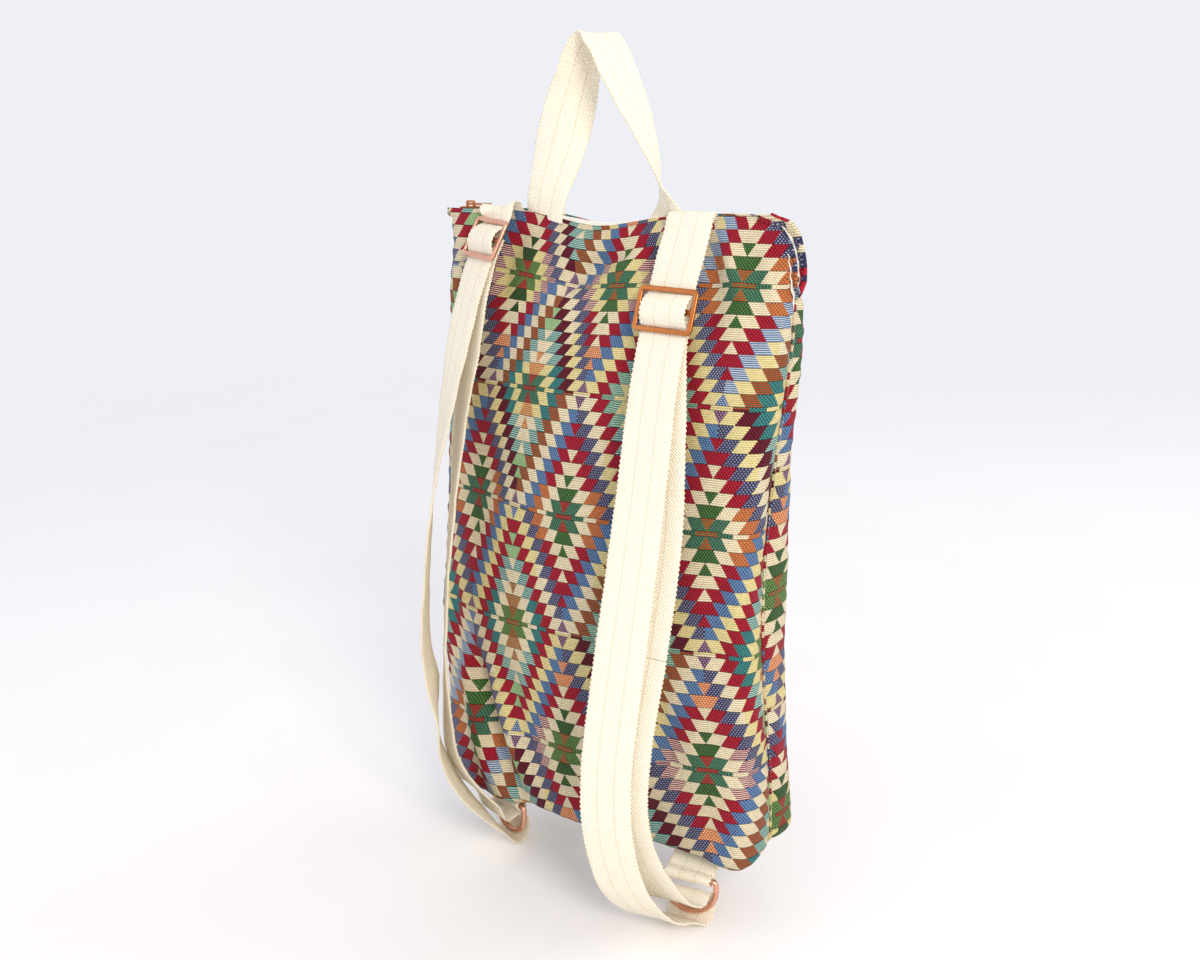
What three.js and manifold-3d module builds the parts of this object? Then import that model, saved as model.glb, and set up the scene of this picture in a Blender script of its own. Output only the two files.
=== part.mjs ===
// A small zip-top backpack of tapestry cloth with webbing straps, hung by its top handle.
// Millimetres, +Z up. The strap side faces -Y and the bag's width runs along X.
// Heights below are measured up from the bag's base; the last lines put the origin
// at the inside top of the handle, where a hand or a hook holds the bag.
import * as THREE from 'three';
import { mergeVertices } from 'three/addons/utils/BufferGeometryUtils.js';
import Module from 'manifold-3d';

const wasm = await Module();
wasm.setup();

// ---- driving dimensions ----------------------------------------------------------------
const BAG_HEIGHT = 400;
const CLOTH_THICKNESS = 2;
const SEAM_GAP = 0.3;
const BASE_HALF_DEPTH = 36;
const BASE_EDGE_RADIUS = 9;
const TOP_MIDDLE_X = 6;
const HEM_DIP = 8;
const ZIP_DIP = 6;
const DIP_WIDTH = 38;

const ZIP_HEIGHT = 398.2;
const ZIP_END_HEIGHT = 362;
const ZIP_MOUTH_HALF = 6;
const TAPE_INNER_Y = 2.7;
const TAPE_OUTER_Y = 5.5;
const TAPE_THICKNESS = 0.8;
const TEETH_WIDTH = 2.1;
const TEETH_THICKNESS = 1.8;

const WEBBING_WIDTH = 32;
const WEBBING_THICKNESS = 1.6;
const GRIP_X = 3;
const HANDLE_TOP = 503;

const GLIDE_WIDTH = 41;
const GLIDE_HEIGHT = 27;
const GLIDE_BAR = 3;
const GLIDE_THICKNESS = 2;

const RING_WIRE_RADIUS = 1.9;
const RING_HALF_WIDTH = 18.9;
const RING_STRAIGHT = 6;

// ---- how the filled bag is shaped: [height, value] pairs --------------------------------
const HALF_WIDTH_RIGHT = [
  [0, 128], [60, 128], [130, 127], [200, 126.5], [250, 128.5], [300, 134],
  [340, 138], [370, 140], [382, 138], [391, 134], [396.5, 128], [400, 117],
];
const HALF_WIDTH_LEFT = [
  [0, 126], [30, 134], [70, 141], [110, 143], [160, 139], [210, 133],
  [300, 124], [360, 119], [390, 117], [400, 116],
];
const HALF_DEPTH = [
  [0, BASE_HALF_DEPTH], [50, 40], [120, 42], [190, 40], [260, 35], [310, 29],
  [350, 21], [378, 13], [400, 8],
];
// How boxy the section is: 2 is an ellipse, higher is boxier. The back's left half hangs rounder.
const SQUARENESS = [[0, 7], [50, 5], [120, 4.4], [290, 4.2], [350, 3.4], [380, 3.6], [400, 7]];
const BACK_LEFT_SQUARENESS = [[0, 7], [40, 3], [100, 2.1], [290, 2.1], [350, 3], [380, 3.6], [400, 7]];

// ---- routes of the webbing: x, y, height, and how far its width is turned from X --------
const HANDLE_ROUTE = [
  [-36, -7, 401, -8], [-33.5, -7, 409, -4], [-27, -4, 431, 12], [-20.5, -2, 452, 38],
  [-12.5, 0, 478, 66], [-5.5, 0, 494.5, 72], [GRIP_X, 0, HANDLE_TOP, 74], [10.5, 0, 496, 76],
  [18.5, 0, 481, 80], [31, -1, 458, 90], [42, -3, 434, 110], [46, -4, 423, 124],
  [45, -5.5, 415, 148], [42.5, -7, 408, 176], [42.5, -7, 401.5, 180],
];
const RIGHT_GLIDE = { at: [71, -33, 348], turn: 0, lean: [0.07, 0.34, 0.94] };
const LEFT_GLIDE = { at: [-72, -23.5, 383], turn: -20, lean: [0.26, 0.4, 0.88] };
const RIGHT_RING = { at: [84, -32, -19], turn: 10 };
const LEFT_RING = { at: [-76, -22, -17], turn: -16 };
const RIGHT_TOP = [[75, -6.7, 401.5, 0], [75, -10, 400.9, 0], [74.5, -14.5, 391, 0]];
const LEFT_TOP = [[-70, -6.7, 401.3, 0], [-69.5, -10.6, 401.5, -17]];
const RIGHT_OUTER = [
  [70, -46, 300, 3], [69.5, -57, 250, 8], [67.5, -69, 190, 14], [64.5, -83, 120, 20],
  [62, -90, 70, 22], [63, -90, 28, 20], [68, -80, -12, 16], [76, -62, -35, 11],
  [81.5, -47, -42.5, 10],
];
const RIGHT_INNER = [
  [83, -56, -22, 10], [73, -71, 4, 14], [67.5, -80, 40, 20], [68.5, -78, 85, 21],
  [73, -66, 145, 17], [76, -52, 215, 10], [74.5, -43, 285, 4],
];
const LEFT_OUTER = [
  [-80, -34, 345, -21], [-84, -44, 310, -24], [-87, -53, 275, -34], [-93, -62, 225, -48],
  [-98, -68, 170, -53], [-101, -71, 115, -56], [-96.5, -71, 86, -60], [-95, -70.5, 64, -46],
  [-97.5, -68, 39, -46], [-94, -65, 22, -48], [-88, -58, 2, -46], [-83, -47, -16, -38],
  [-79, -36, -31, -28],
];
const LEFT_INNER = [
  [-82, -42, -16, -20], [-87, -51, 3, -20], [-91, -57, 20, -24], [-93, -61, 36, -29],
  [-93.5, -62, 65, -38], [-92, -62, 112, -46], [-89, -58, 165, -46], [-85, -52, 220, -42],
  [-82, -45, 270, -33], [-79, -37, 312, -24],
];

// ---- colours ------------------------------------------------------------------------------
const finish = (color, roughness, metalness = 0) =>
  new THREE.MeshStandardMaterial({ color, roughness, metalness });
const CLOTH = 0x9c6f6a;
const CREAM = 0xefe6cf;
const COPPER = 0xb5652a;
const ROSE = 0xd99a80;
const WHITE = 0xf1efe9;

// ---- helpers ------------------------------------------------------------------------------
const group = new THREE.Group();
const lerp = THREE.MathUtils.lerp;
const smooth = THREE.MathUtils.smoothstep;

function add(name, geometry, material) {
  geometry.deleteAttribute('uv');
  geometry.deleteAttribute('normal');
  const merged = mergeVertices(geometry, 1e-4);
  const kept = [];
  const index = merged.index.array;
  for (let i = 0; i < index.length; i += 3) {
    const [a, b, c] = [index[i], index[i + 1], index[i + 2]];
    if (a !== b && b !== c && c !== a) kept.push(a, b, c);
  }
  merged.setIndex(kept);
  merged.computeVertexNormals();
  const mesh = new THREE.Mesh(merged, material);
  mesh.name = name;
  group.add(mesh);
  return mesh;
}

// A smooth value between [height, value] stations.
function profile(stations, height) {
  const last = stations.length - 1;
  if (height <= stations[0][0]) return stations[0][1];
  if (height >= stations[last][0]) return stations[last][1];
  const i = stations.findIndex(([h]) => h > height) - 1;
  const slope = (k) => {
    if (k <= 0 || k >= last) return 0;
    return (stations[k + 1][1] - stations[k - 1][1]) / (stations[k + 1][0] - stations[k - 1][0]);
  };
  const span = stations[i + 1][0] - stations[i][0];
  const t = (height - stations[i][0]) / span;
  const [a, b] = [stations[i][1], stations[i + 1][1]];
  return a + (b - a) * t * t * (3 - 2 * t)
    + span * (slope(i) * t * (1 - t) ** 2 - slope(i + 1) * t * t * (1 - t));
}

const dipAt = (x) => Math.exp(-(((x - TOP_MIDDLE_X) / DIP_WIDTH) ** 2));

// Turns every vertex of a geometry into move(x, y, z).
function reshape(geometry, move) {
  const place = geometry.attributes.position;
  for (let i = 0; i < place.count; i += 1) {
    const p = move(place.getX(i), place.getY(i), place.getZ(i));
    place.setXYZ(i, p.x, p.y, p.z);
  }
  return geometry;
}

function toManifold(geometry) {
  const bare = geometry.clone();
  bare.deleteAttribute('uv');
  bare.deleteAttribute('normal');
  const merged = mergeVertices(bare, 1e-4);
  return new wasm.Manifold(new wasm.Mesh({
    numProp: 3,
    vertProperties: new Float32Array(merged.attributes.position.array),
    triVerts: new Uint32Array(merged.index.array),
  }));
}

function fromManifold(solid) {
  const mesh = solid.getMesh();
  const geometry = new THREE.BufferGeometry();
  geometry.setAttribute('position', new THREE.BufferAttribute(mesh.vertProperties, 3));
  geometry.setIndex(Array.from(mesh.triVerts));
  return geometry;
}

const joined = (...parts) => fromManifold(parts.map(toManifold).reduce((a, b) => a.add(b)));

function roundedOutline(width, height, radius) {
  const [w, h] = [width / 2, height / 2];
  const outline = new THREE.Shape();
  outline.moveTo(-w + radius, -h);
  outline.lineTo(w - radius, -h);
  outline.absarc(w - radius, -h + radius, radius, -Math.PI / 2, 0);
  outline.lineTo(w, h - radius);
  outline.absarc(w - radius, h - radius, radius, 0, Math.PI / 2);
  outline.lineTo(-w + radius, h);
  outline.absarc(-w + radius, h - radius, radius, Math.PI / 2, Math.PI);
  outline.lineTo(-w, -h + radius);
  outline.absarc(-w + radius, -h + radius, radius, Math.PI, Math.PI * 1.5);
  return outline;
}

// ---- the cloth body ------------------------------------------------------------------------
// Rows of the panel from the bottom seam (gather 1) out to the base edge, then up the side.
const PANEL_COLUMNS = 34;
const BASE_GATHERS = [1, 0.8, 0.6, 0.42];
const WALL_HEIGHTS = [
  35, 65, 100, 140, 180, 220, 255, 285, 312, 335, 355, 362, 370, 379, 387, 393, 397, BAG_HEIGHT,
];
const PANEL_ROWS = BASE_GATHERS.map((gather) => ({ height: 0, gather }));
for (const turn of [0, 30, 60, 90]) {
  const angle = THREE.MathUtils.degToRad(turn);
  PANEL_ROWS.push({
    height: BASE_EDGE_RADIUS * (1 - Math.cos(angle)),
    gather: (BASE_EDGE_RADIUS * (1 - Math.sin(angle))) / BASE_HALF_DEPTH,
  });
}
for (const height of WALL_HEIGHTS) PANEL_ROWS.push({ height, gather: 0 });

// A point of the bag's wall. across runs 0..1 from the right seam over the panel to the left
// seam; inset is 0 on the outside and the cloth's thickness on the inside.
function wallPoint(side, across, row, inset) {
  const rise = row.height / BAG_HEIGHT;
  const angle = Math.PI * across;
  const [c, s] = [Math.cos(angle), Math.sin(angle)];
  const n = profile(side < 0 && c < 0 ? BACK_LEFT_SQUARENESS : SQUARENESS, row.height);
  const reach = (Math.abs(c) ** n + Math.abs(s) ** n) ** (-1 / n);
  const widths = c > 0 ? HALF_WIDTH_RIGHT : HALF_WIDTH_LEFT;
  const halfWidth = profile(widths, row.height) - inset - row.gather * BASE_HALF_DEPTH;
  const halfDepth = (profile(HALF_DEPTH, row.height) - inset) * (1 - row.gather);
  const rightMouth = smooth(row.height, 352, 364) * (1 - smooth(across, 0.2, 0.5));
  const leftMouth = smooth(row.height, 391, 396) * (1 - smooth(1 - across, 0.2, 0.5));
  const mouth = (ZIP_MOUTH_HALF + CLOTH_THICKNESS - inset) * Math.max(rightMouth, leftMouth);
  const x = halfWidth * lerp(reach * c, 1 - 2 * across, row.gather ** 2);
  const y = Math.max(mouth, SEAM_GAP / 2 + halfDepth * reach * s);
  const z = inset + rise * (BAG_HEIGHT - inset) - HEM_DIP * dipAt(x) * rise ** 9;
  return new THREE.Vector3(x, side * y, z);
}

function panel(side) {
  const grid = new THREE.BoxGeometry(1, 1, 1, PANEL_COLUMNS, PANEL_ROWS.length - 1, 1);
  return reshape(grid, (x, y, z) => {
    const row = PANEL_ROWS[Math.round((y + 0.5) * (PANEL_ROWS.length - 1))];
    const across = side < 0 ? 0.5 - x : 0.5 + x;
    return wallPoint(side, across, row, (0.5 - z) * CLOTH_THICKNESS);
  });
}

add('back_panel', panel(-1), finish(CLOTH, 0.9));
add('front_panel', panel(1), finish(CLOTH, 0.9));

// ---- the zip ---------------------------------------------------------------------------------
// The chain runs level along the top, dips with the hem, and turns down over the right corner.
const ZIP_LEFT = -113;
const ZIP_TOP_XS = [-80, -50, -25, TOP_MIDDLE_X, 37, 62, 90];
const zipLine = new THREE.CatmullRomCurve3([
  new THREE.Vector3(ZIP_LEFT, 0, ZIP_HEIGHT),
  ...ZIP_TOP_XS.map((x) => new THREE.Vector3(x, 0, ZIP_HEIGHT - ZIP_DIP * dipAt(x))),
  new THREE.Vector3(112, 0, ZIP_HEIGHT - 0.6),
  new THREE.Vector3(126, 0, 393),
  new THREE.Vector3(134.5, 0, 382),
  new THREE.Vector3(137.4, 0, ZIP_END_HEIGHT + 5),
]);

// A flat strip along the zip line between two distances from its middle.
function zipStrip(side, innerY, outerY, thickness, from, steps) {
  const strip = new THREE.BoxGeometry(1, outerY - innerY, thickness, steps, 1, 1);
  return reshape(strip, (x, y, z) => {
    const along = lerp(from, 1, x + 0.5);
    const at = zipLine.getPointAt(along);
    const run = zipLine.getTangentAt(along);
    const out = new THREE.Vector3(-run.z, 0, run.x);
    at.addScaledVector(out, z);
    at.y = side * (innerY + outerY) / 2 + y;
    return at;
  });
}

const ZIP_STEPS = 40;
const TEETH_START = 0.04;
for (const [side, word] of [[-1, 'back'], [1, 'front']]) {
  const tape = zipStrip(side, TAPE_INNER_Y, TAPE_OUTER_Y, TAPE_THICKNESS, 0, ZIP_STEPS);
  const [inner, outer] = [SEAM_GAP / 2, SEAM_GAP / 2 + TEETH_WIDTH];
  const teeth = zipStrip(side, inner, outer, TEETH_THICKNESS, TEETH_START, ZIP_STEPS);
  add(`zip_tape_${word}`, tape, finish(WHITE, 0.85));
  add(`zip_teeth_${word}`, teeth, finish(WHITE, 0.5));
}

// Small clamped stops: one on each tape beyond the slider, one across both rows at the low end.
const STOP_LENGTH = 2.6;
for (const [side, word] of [[-1, 'back'], [1, 'front']]) {
  const stop = new THREE.BoxGeometry(STOP_LENGTH, TEETH_WIDTH, TEETH_THICKNESS);
  stop.translate(ZIP_LEFT + STOP_LENGTH / 2, side * (SEAM_GAP / 2 + TEETH_WIDTH / 2), ZIP_HEIGHT);
  add(`zip_top_stop_${word}`, stop, finish(COPPER, 0.3, 1));
}
const lowStop = new THREE.BoxGeometry(TEETH_THICKNESS + 0.6, TEETH_WIDTH * 2, STOP_LENGTH);
lowStop.translate(137.5, 0, ZIP_END_HEIGHT + 3.2);
add('zip_bottom_stop', lowStop, finish(COPPER, 0.3, 1));

// The slider: two plates with a wedge between them and an arched bridge on top.
const SLIDER_X = -103.5;
const SLIDER_LENGTH = 12;
const SLIDER_WIDTH = 8.6;
const PLATE_THICKNESS = 1.1;
const PLATE_GAP = 2.6;
const WEDGE_LENGTH = 3;
const BRIDGE_REACH = 3.4;
const BRIDGE_BAR = 1.1;
const PULL_PIVOT_LIFT = 1.7;

function sliderPlate(z) {
  const half = SLIDER_LENGTH / 2;
  const wide = SLIDER_WIDTH / 2;
  const outline = new THREE.Shape();
  outline.moveTo(half, -wide * 0.72);
  outline.quadraticCurveTo(-half * 0.2, -wide * 1.1, -half, -wide);
  outline.quadraticCurveTo(-half * 1.12, 0, -half, wide);
  outline.quadraticCurveTo(-half * 0.2, wide * 1.1, half, wide * 0.72);
  outline.quadraticCurveTo(half * 1.1, 0, half, -wide * 0.72);
  const plate = new THREE.ExtrudeGeometry(outline, {
    depth: PLATE_THICKNESS, bevelEnabled: false, curveSegments: 5,
  });
  return plate.translate(SLIDER_X, 0, z);
}

function sliderBridge(z) {
  const arch = new THREE.Shape();
  const rise = PULL_PIVOT_LIFT + 2.2;
  arch.moveTo(-BRIDGE_REACH, -0.4);
  arch.lineTo(-BRIDGE_REACH, rise - 1.6);
  arch.quadraticCurveTo(-BRIDGE_REACH, rise, -BRIDGE_REACH + 1.6, rise);
  arch.lineTo(BRIDGE_REACH - 1.6, rise);
  arch.quadraticCurveTo(BRIDGE_REACH, rise, BRIDGE_REACH, rise - 1.6);
  arch.lineTo(BRIDGE_REACH, -0.4);
  arch.lineTo(BRIDGE_REACH - BRIDGE_BAR, -0.4);
  arch.lineTo(BRIDGE_REACH - BRIDGE_BAR, rise - BRIDGE_BAR);
  arch.lineTo(-BRIDGE_REACH + BRIDGE_BAR, rise - BRIDGE_BAR);
  arch.lineTo(-BRIDGE_REACH + BRIDGE_BAR, -0.4);
  const width = 2;
  const bridge = new THREE.ExtrudeGeometry(arch, {
    depth: width,
    bevelEnabled: false,
    curveSegments: 4,
  });
  bridge.rotateX(Math.PI / 2).translate(SLIDER_X, width / 2, z);
  return bridge;
}

const topPlateZ = ZIP_HEIGHT + PLATE_GAP / 2;
const wedge = new THREE.BoxGeometry(WEDGE_LENGTH, 1.8, PLATE_GAP + 0.4);
wedge.translate(SLIDER_X - 4.2, 0, ZIP_HEIGHT);
add('zip_slider', joined(
  sliderPlate(topPlateZ), sliderPlate(ZIP_HEIGHT - PLATE_GAP / 2 - PLATE_THICKNESS), wedge,
  sliderBridge(topPlateZ + PLATE_THICKNESS),
), finish(COPPER, 0.28, 1));

// The pull: a tapered tab whose eye holds the bridge.
const PULL_LENGTH = 17;
const PULL_THICKNESS = 1.1;
const EYE_BAR = 0.55;
const pullPivot = new THREE.Vector3(SLIDER_X, 0, topPlateZ + PLATE_THICKNESS + PULL_PIVOT_LIFT);
const tab = new THREE.Shape();
tab.moveTo(-EYE_BAR, -2.7);
tab.lineTo(5, -2.7);
tab.quadraticCurveTo(8, -3.8, PULL_LENGTH - 3, -3.4);
tab.quadraticCurveTo(PULL_LENGTH, -3, PULL_LENGTH, 0);
tab.quadraticCurveTo(PULL_LENGTH, 3, PULL_LENGTH - 3, 3.4);
tab.quadraticCurveTo(8, 3.8, 5, 2.7);
tab.lineTo(-EYE_BAR, 2.7);
const eye = new THREE.Path();
eye.moveTo(EYE_BAR, -1.5);
eye.lineTo(EYE_BAR, 1.5);
eye.lineTo(4.4, 1.5);
eye.lineTo(4.4, -1.5);
const hole = new THREE.Path();
hole.absellipse(PULL_LENGTH - 4.6, 0, 2.4, 1.5, 0, Math.PI * 2, true);
tab.holes.push(eye, hole);
const pull = new THREE.ExtrudeGeometry(tab, {
  depth: PULL_THICKNESS,
  bevelEnabled: false,
  curveSegments: 5,
});
pull.translate(pullPivot.x, 0, pullPivot.z - PULL_THICKNESS / 2);
add('zip_pull', pull, finish(COPPER, 0.28, 1));

// ---- webbing -----------------------------------------------------------------------------------
// A flat band along a route. Its width lies level, turned from X by the route's fourth value.
function webbing(route, stepLength) {
  const points = route.map(([x, y, z]) => new THREE.Vector3(x, y, z));
  const middle = new THREE.CatmullRomCurve3(points, false, 'centripetal');
  const steps = Math.round(middle.getLength() / stepLength);
  middle.arcLengthDivisions = 400;
  const turnAt = (t) => {
    const spot = t * (route.length - 1);
    const i = Math.min(Math.floor(spot), route.length - 2);
    return THREE.MathUtils.degToRad(lerp(route[i][3], route[i + 1][3], spot - i));
  };
  const band = new THREE.BoxGeometry(WEBBING_WIDTH, 1, WEBBING_THICKNESS, 1, steps, 1);
  return reshape(band, (x, y, z) => {
    const t = middle.getUtoTmapping(y + 0.5);
    const at = middle.getPoint(t);
    const run = middle.getTangent(t);
    const wide = new THREE.Vector3(Math.cos(turnAt(t)), Math.sin(turnAt(t)), 0);
    const out = wide.clone().cross(run).normalize();
    wide.copy(run).cross(out).normalize();
    return at.addScaledVector(wide, x).addScaledVector(out, z);
  });
}

const WEBBING_STEP = 5;
add('top_handle', webbing(HANDLE_ROUTE, WEBBING_STEP), finish(CREAM, 0.85));

// ---- glides and rings ----------------------------------------------------------------------------
// Axes of a flat fitting: width level and turned from X, up along its lean, out towards the wearer.
function fittingAxes(turn, lean) {
  const angle = THREE.MathUtils.degToRad(turn);
  const wide = new THREE.Vector3(Math.cos(angle), Math.sin(angle), 0);
  const up = new THREE.Vector3(...lean);
  up.addScaledVector(wide, -up.dot(wide) * 0.6).normalize();
  const out = wide.clone().cross(up).normalize();
  wide.copy(up).cross(out).normalize();
  return new THREE.Matrix4().makeBasis(wide, up, out);
}

function glideBody() {
  const frame = roundedOutline(GLIDE_WIDTH, GLIDE_HEIGHT, 3.5);
  const slotHeight = (GLIDE_HEIGHT - 3 * GLIDE_BAR) / 2;
  for (const side of [-1, 1]) {
    const slot = roundedOutline(GLIDE_WIDTH - 2 * GLIDE_BAR, slotHeight, 1);
    const lift = new THREE.Vector2(0, side * (slotHeight + GLIDE_BAR) / 2);
    frame.holes.push(new THREE.Path(slot.getPoints(3).map((p) => p.add(lift))));
  }
  const bevel = 0.5;
  const body = new THREE.ExtrudeGeometry(frame, {
    depth: GLIDE_THICKNESS - 2 * bevel,
    bevelThickness: bevel,
    bevelSize: bevel,
    bevelOffset: -bevel,
    bevelSegments: 1,
    curveSegments: 4,
  });
  return body.translate(0, 0, -GLIDE_THICKNESS / 2 + bevel);
}

function dRing() {
  const bow = new THREE.CatmullRomCurve3([
    new THREE.Vector3(-RING_HALF_WIDTH, 0, 0),
    new THREE.Vector3(-RING_HALF_WIDTH, -RING_STRAIGHT, 0),
    ...[25, 50, 70, 90, 110, 130, 155].map((turn) => {
      const angle = THREE.MathUtils.degToRad(turn);
      const [c, s] = [RING_HALF_WIDTH * Math.cos(angle), RING_HALF_WIDTH * Math.sin(angle)];
      return new THREE.Vector3(-c, -RING_STRAIGHT - s, 0);
    }),
    new THREE.Vector3(RING_HALF_WIDTH, -RING_STRAIGHT, 0),
    new THREE.Vector3(RING_HALF_WIDTH, 0, 0),
  ]);
  const wire = new THREE.Shape().absarc(0, 0, RING_WIRE_RADIUS, 0, Math.PI * 2);
  const arc = new THREE.ExtrudeGeometry(wire, { extrudePath: bow, steps: 28, curveSegments: 5 });
  const barRadius = RING_WIRE_RADIUS * 0.98;
  const barLength = 2 * (RING_HALF_WIDTH + RING_WIRE_RADIUS * 0.8);
  const bar = new THREE.CylinderGeometry(barRadius, barRadius, barLength, 10);
  bar.rotateZ(Math.PI / 2);
  return joined(arc, bar);
}

// A doubled tab sewn under the base whose fold holds the ring's bar.
const TAB_LAYER = 1.3;
const FOLD_HOLE = RING_WIRE_RADIUS + 0.4;
const FOLD_RADIUS = FOLD_HOLE + TAB_LAYER;
function ringTab(side, ring) {
  const end = new THREE.Vector3(...ring.at);
  const middle = new THREE.CatmullRomCurve3([
    new THREE.Vector3(side * 82, -2.5, -1.8),
    new THREE.Vector3(side * 83, -11, -3.2),
    end.clone().add(new THREE.Vector3(0, 7, 6)),
    end,
  ]);
  const length = middle.getLength();
  const outline = new THREE.Shape();
  const neck = Math.acos(TAB_LAYER / FOLD_RADIUS);
  outline.moveTo(0, -TAB_LAYER);
  for (const share of [0.25, 0.5, 0.7]) outline.lineTo(length * share, -TAB_LAYER);
  const steps = 14;
  for (let i = 0; i <= steps; i += 1) {
    const angle = lerp(-Math.PI / 2 - neck, Math.PI / 2 + neck, i / steps);
    outline.lineTo(length + FOLD_RADIUS * Math.cos(angle), FOLD_RADIUS * Math.sin(angle));
  }
  for (const share of [0.7, 0.5, 0.25, 0]) outline.lineTo(length * share, TAB_LAYER);
  const bore = new THREE.Path().absarc(length, 0, FOLD_HOLE, 0, Math.PI * 2, true);
  outline.holes.push(bore);
  const body = new THREE.ExtrudeGeometry(outline, {
    depth: WEBBING_WIDTH, steps: 1, bevelEnabled: false, curveSegments: 8,
  });
  return reshape(body, (x, y, z) => {
    const along = Math.min(x / length, 1);
    const at = middle.getPointAt(along);
    const run = middle.getTangentAt(along);
    const angle = THREE.MathUtils.degToRad(ring.turn) * smooth(along, 0, 0.95);
    const wide = new THREE.Vector3(Math.cos(angle), Math.sin(angle), 0);
    const out = wide.clone().cross(run).normalize();
    const straight = run.clone().multiplyScalar(Math.max(x - length, 0));
    return at.add(straight).addScaledVector(out, y).addScaledVector(wide, z - WEBBING_WIDTH / 2);
  });
}

// How far the webbing stands off the metal that it passes.
const STRAP_CLEARANCE = 0.9;

// One strap: over the hem, through the glide, down to the ring, round its bow and back up to
// the glide's middle bar, where its end stops just short.
function strapRoute(glide, ring, top, outer, inner) {
  const axes = fittingAxes(glide.turn, glide.lean);
  const centre = new THREE.Vector3(...glide.at);
  const weave = GLIDE_THICKNESS / 2 + WEBBING_THICKNESS / 2 + STRAP_CLEARANCE;
  const spot = (up, out) => {
    const p = new THREE.Vector3(0, up, out).applyMatrix4(axes).add(centre);
    return [p.x, p.y, p.z, glide.turn];
  };
  const bar = (GLIDE_HEIGHT - GLIDE_BAR) / 2;
  const turn = THREE.MathUtils.degToRad(ring.turn);
  const [ringX, ringY, ringZ] = ring.at;
  const loop = (along, drop) => {
    return [ringX + along * Math.sin(turn), ringY - along * Math.cos(turn), ringZ - drop, ring.turn];
  };
  const bow = RING_STRAIGHT + RING_HALF_WIDTH + RING_WIRE_RADIUS;
  const under = bow + WEBBING_THICKNESS / 2 + STRAP_CLEARANCE - 0.2;
  const inside = RING_STRAIGHT + 2.6;
  return [
    ...top,
    spot(bar + 3, -weave), spot(bar, -weave), spot(0, weave), spot(-bar, -weave),
    spot(-bar - 4, -weave),
    ...outer,
    loop(3, under + 0.6), loop(-4.5, under - 2), loop(-6, (under + inside) / 2),
    loop(-3.5, inside + 3), loop(3, inside), loop(12, inside + 1.5),
    ...inner,
    spot(-bar - 5, -weave - WEBBING_THICKNESS - 1), spot(-3.6, -weave - STRAP_CLEARANCE),
  ];
}

for (const [word, side, glide, ring, top, outer, inner] of [
  ['left', -1, LEFT_GLIDE, LEFT_RING, LEFT_TOP, LEFT_OUTER, LEFT_INNER],
  ['right', 1, RIGHT_GLIDE, RIGHT_RING, RIGHT_TOP, RIGHT_OUTER, RIGHT_INNER],
]) {
  const strap = webbing(strapRoute(glide, ring, top, outer, inner), WEBBING_STEP);
  add(`strap_${word}`, strap, finish(CREAM, 0.85));
  const frame = glideBody().applyMatrix4(fittingAxes(glide.turn, glide.lean));
  frame.translate(...glide.at);
  add(`glide_${word}`, frame, finish(side > 0 ? COPPER : ROSE, 0.25, 1));
  const bow = dRing().applyMatrix4(fittingAxes(ring.turn, [0, 0, 1]));
  bow.translate(...ring.at);
  add(`d_ring_${word}`, bow, finish(COPPER, 0.25, 1));
  add(`ring_tab_${word}`, ringTab(side, ring), finish(CREAM, 0.85));
}

// The origin: under the top of the handle, where it hangs.
group.position.set(-GRIP_X, 0, -(HANDLE_TOP - WEBBING_THICKNESS / 2));

export default group;
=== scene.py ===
# %% [markdown]
# # A zip-top backpack of tapestry cloth, hung by its handle
#
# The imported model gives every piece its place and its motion. This script gives each piece
# its cloth, webbing or plated metal, in the same metres and the same frame: +Z is up, the
# straps are on the -Y side, and the origin is where a hand holds the handle.

# %% Load the frame
import math

import bpy
import numpy as np
from mathutils import Matrix, Vector


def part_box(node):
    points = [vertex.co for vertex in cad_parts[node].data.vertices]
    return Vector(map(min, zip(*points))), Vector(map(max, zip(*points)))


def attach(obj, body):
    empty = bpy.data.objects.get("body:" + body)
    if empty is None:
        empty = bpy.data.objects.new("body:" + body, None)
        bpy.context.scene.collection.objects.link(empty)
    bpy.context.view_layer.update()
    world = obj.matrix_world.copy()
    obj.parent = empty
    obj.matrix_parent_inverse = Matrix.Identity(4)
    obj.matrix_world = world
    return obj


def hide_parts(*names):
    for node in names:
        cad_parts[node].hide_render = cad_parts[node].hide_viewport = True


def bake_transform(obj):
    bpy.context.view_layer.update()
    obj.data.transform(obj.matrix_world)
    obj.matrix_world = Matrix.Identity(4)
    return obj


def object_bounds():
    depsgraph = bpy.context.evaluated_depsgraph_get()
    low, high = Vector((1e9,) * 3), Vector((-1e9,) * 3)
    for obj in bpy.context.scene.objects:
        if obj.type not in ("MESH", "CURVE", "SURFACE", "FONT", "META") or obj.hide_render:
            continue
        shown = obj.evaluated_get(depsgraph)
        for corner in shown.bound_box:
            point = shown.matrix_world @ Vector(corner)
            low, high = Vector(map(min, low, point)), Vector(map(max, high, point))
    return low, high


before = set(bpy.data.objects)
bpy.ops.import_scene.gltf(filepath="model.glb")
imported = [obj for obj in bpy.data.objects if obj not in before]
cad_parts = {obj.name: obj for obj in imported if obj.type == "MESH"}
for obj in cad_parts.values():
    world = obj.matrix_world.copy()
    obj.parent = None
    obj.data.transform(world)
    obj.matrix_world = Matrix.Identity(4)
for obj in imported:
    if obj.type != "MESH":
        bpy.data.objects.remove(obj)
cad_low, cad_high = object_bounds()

MM = 0.001
print("CAD box", [round(v, 4) for v in cad_low], [round(v, 4) for v in cad_high])

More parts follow.
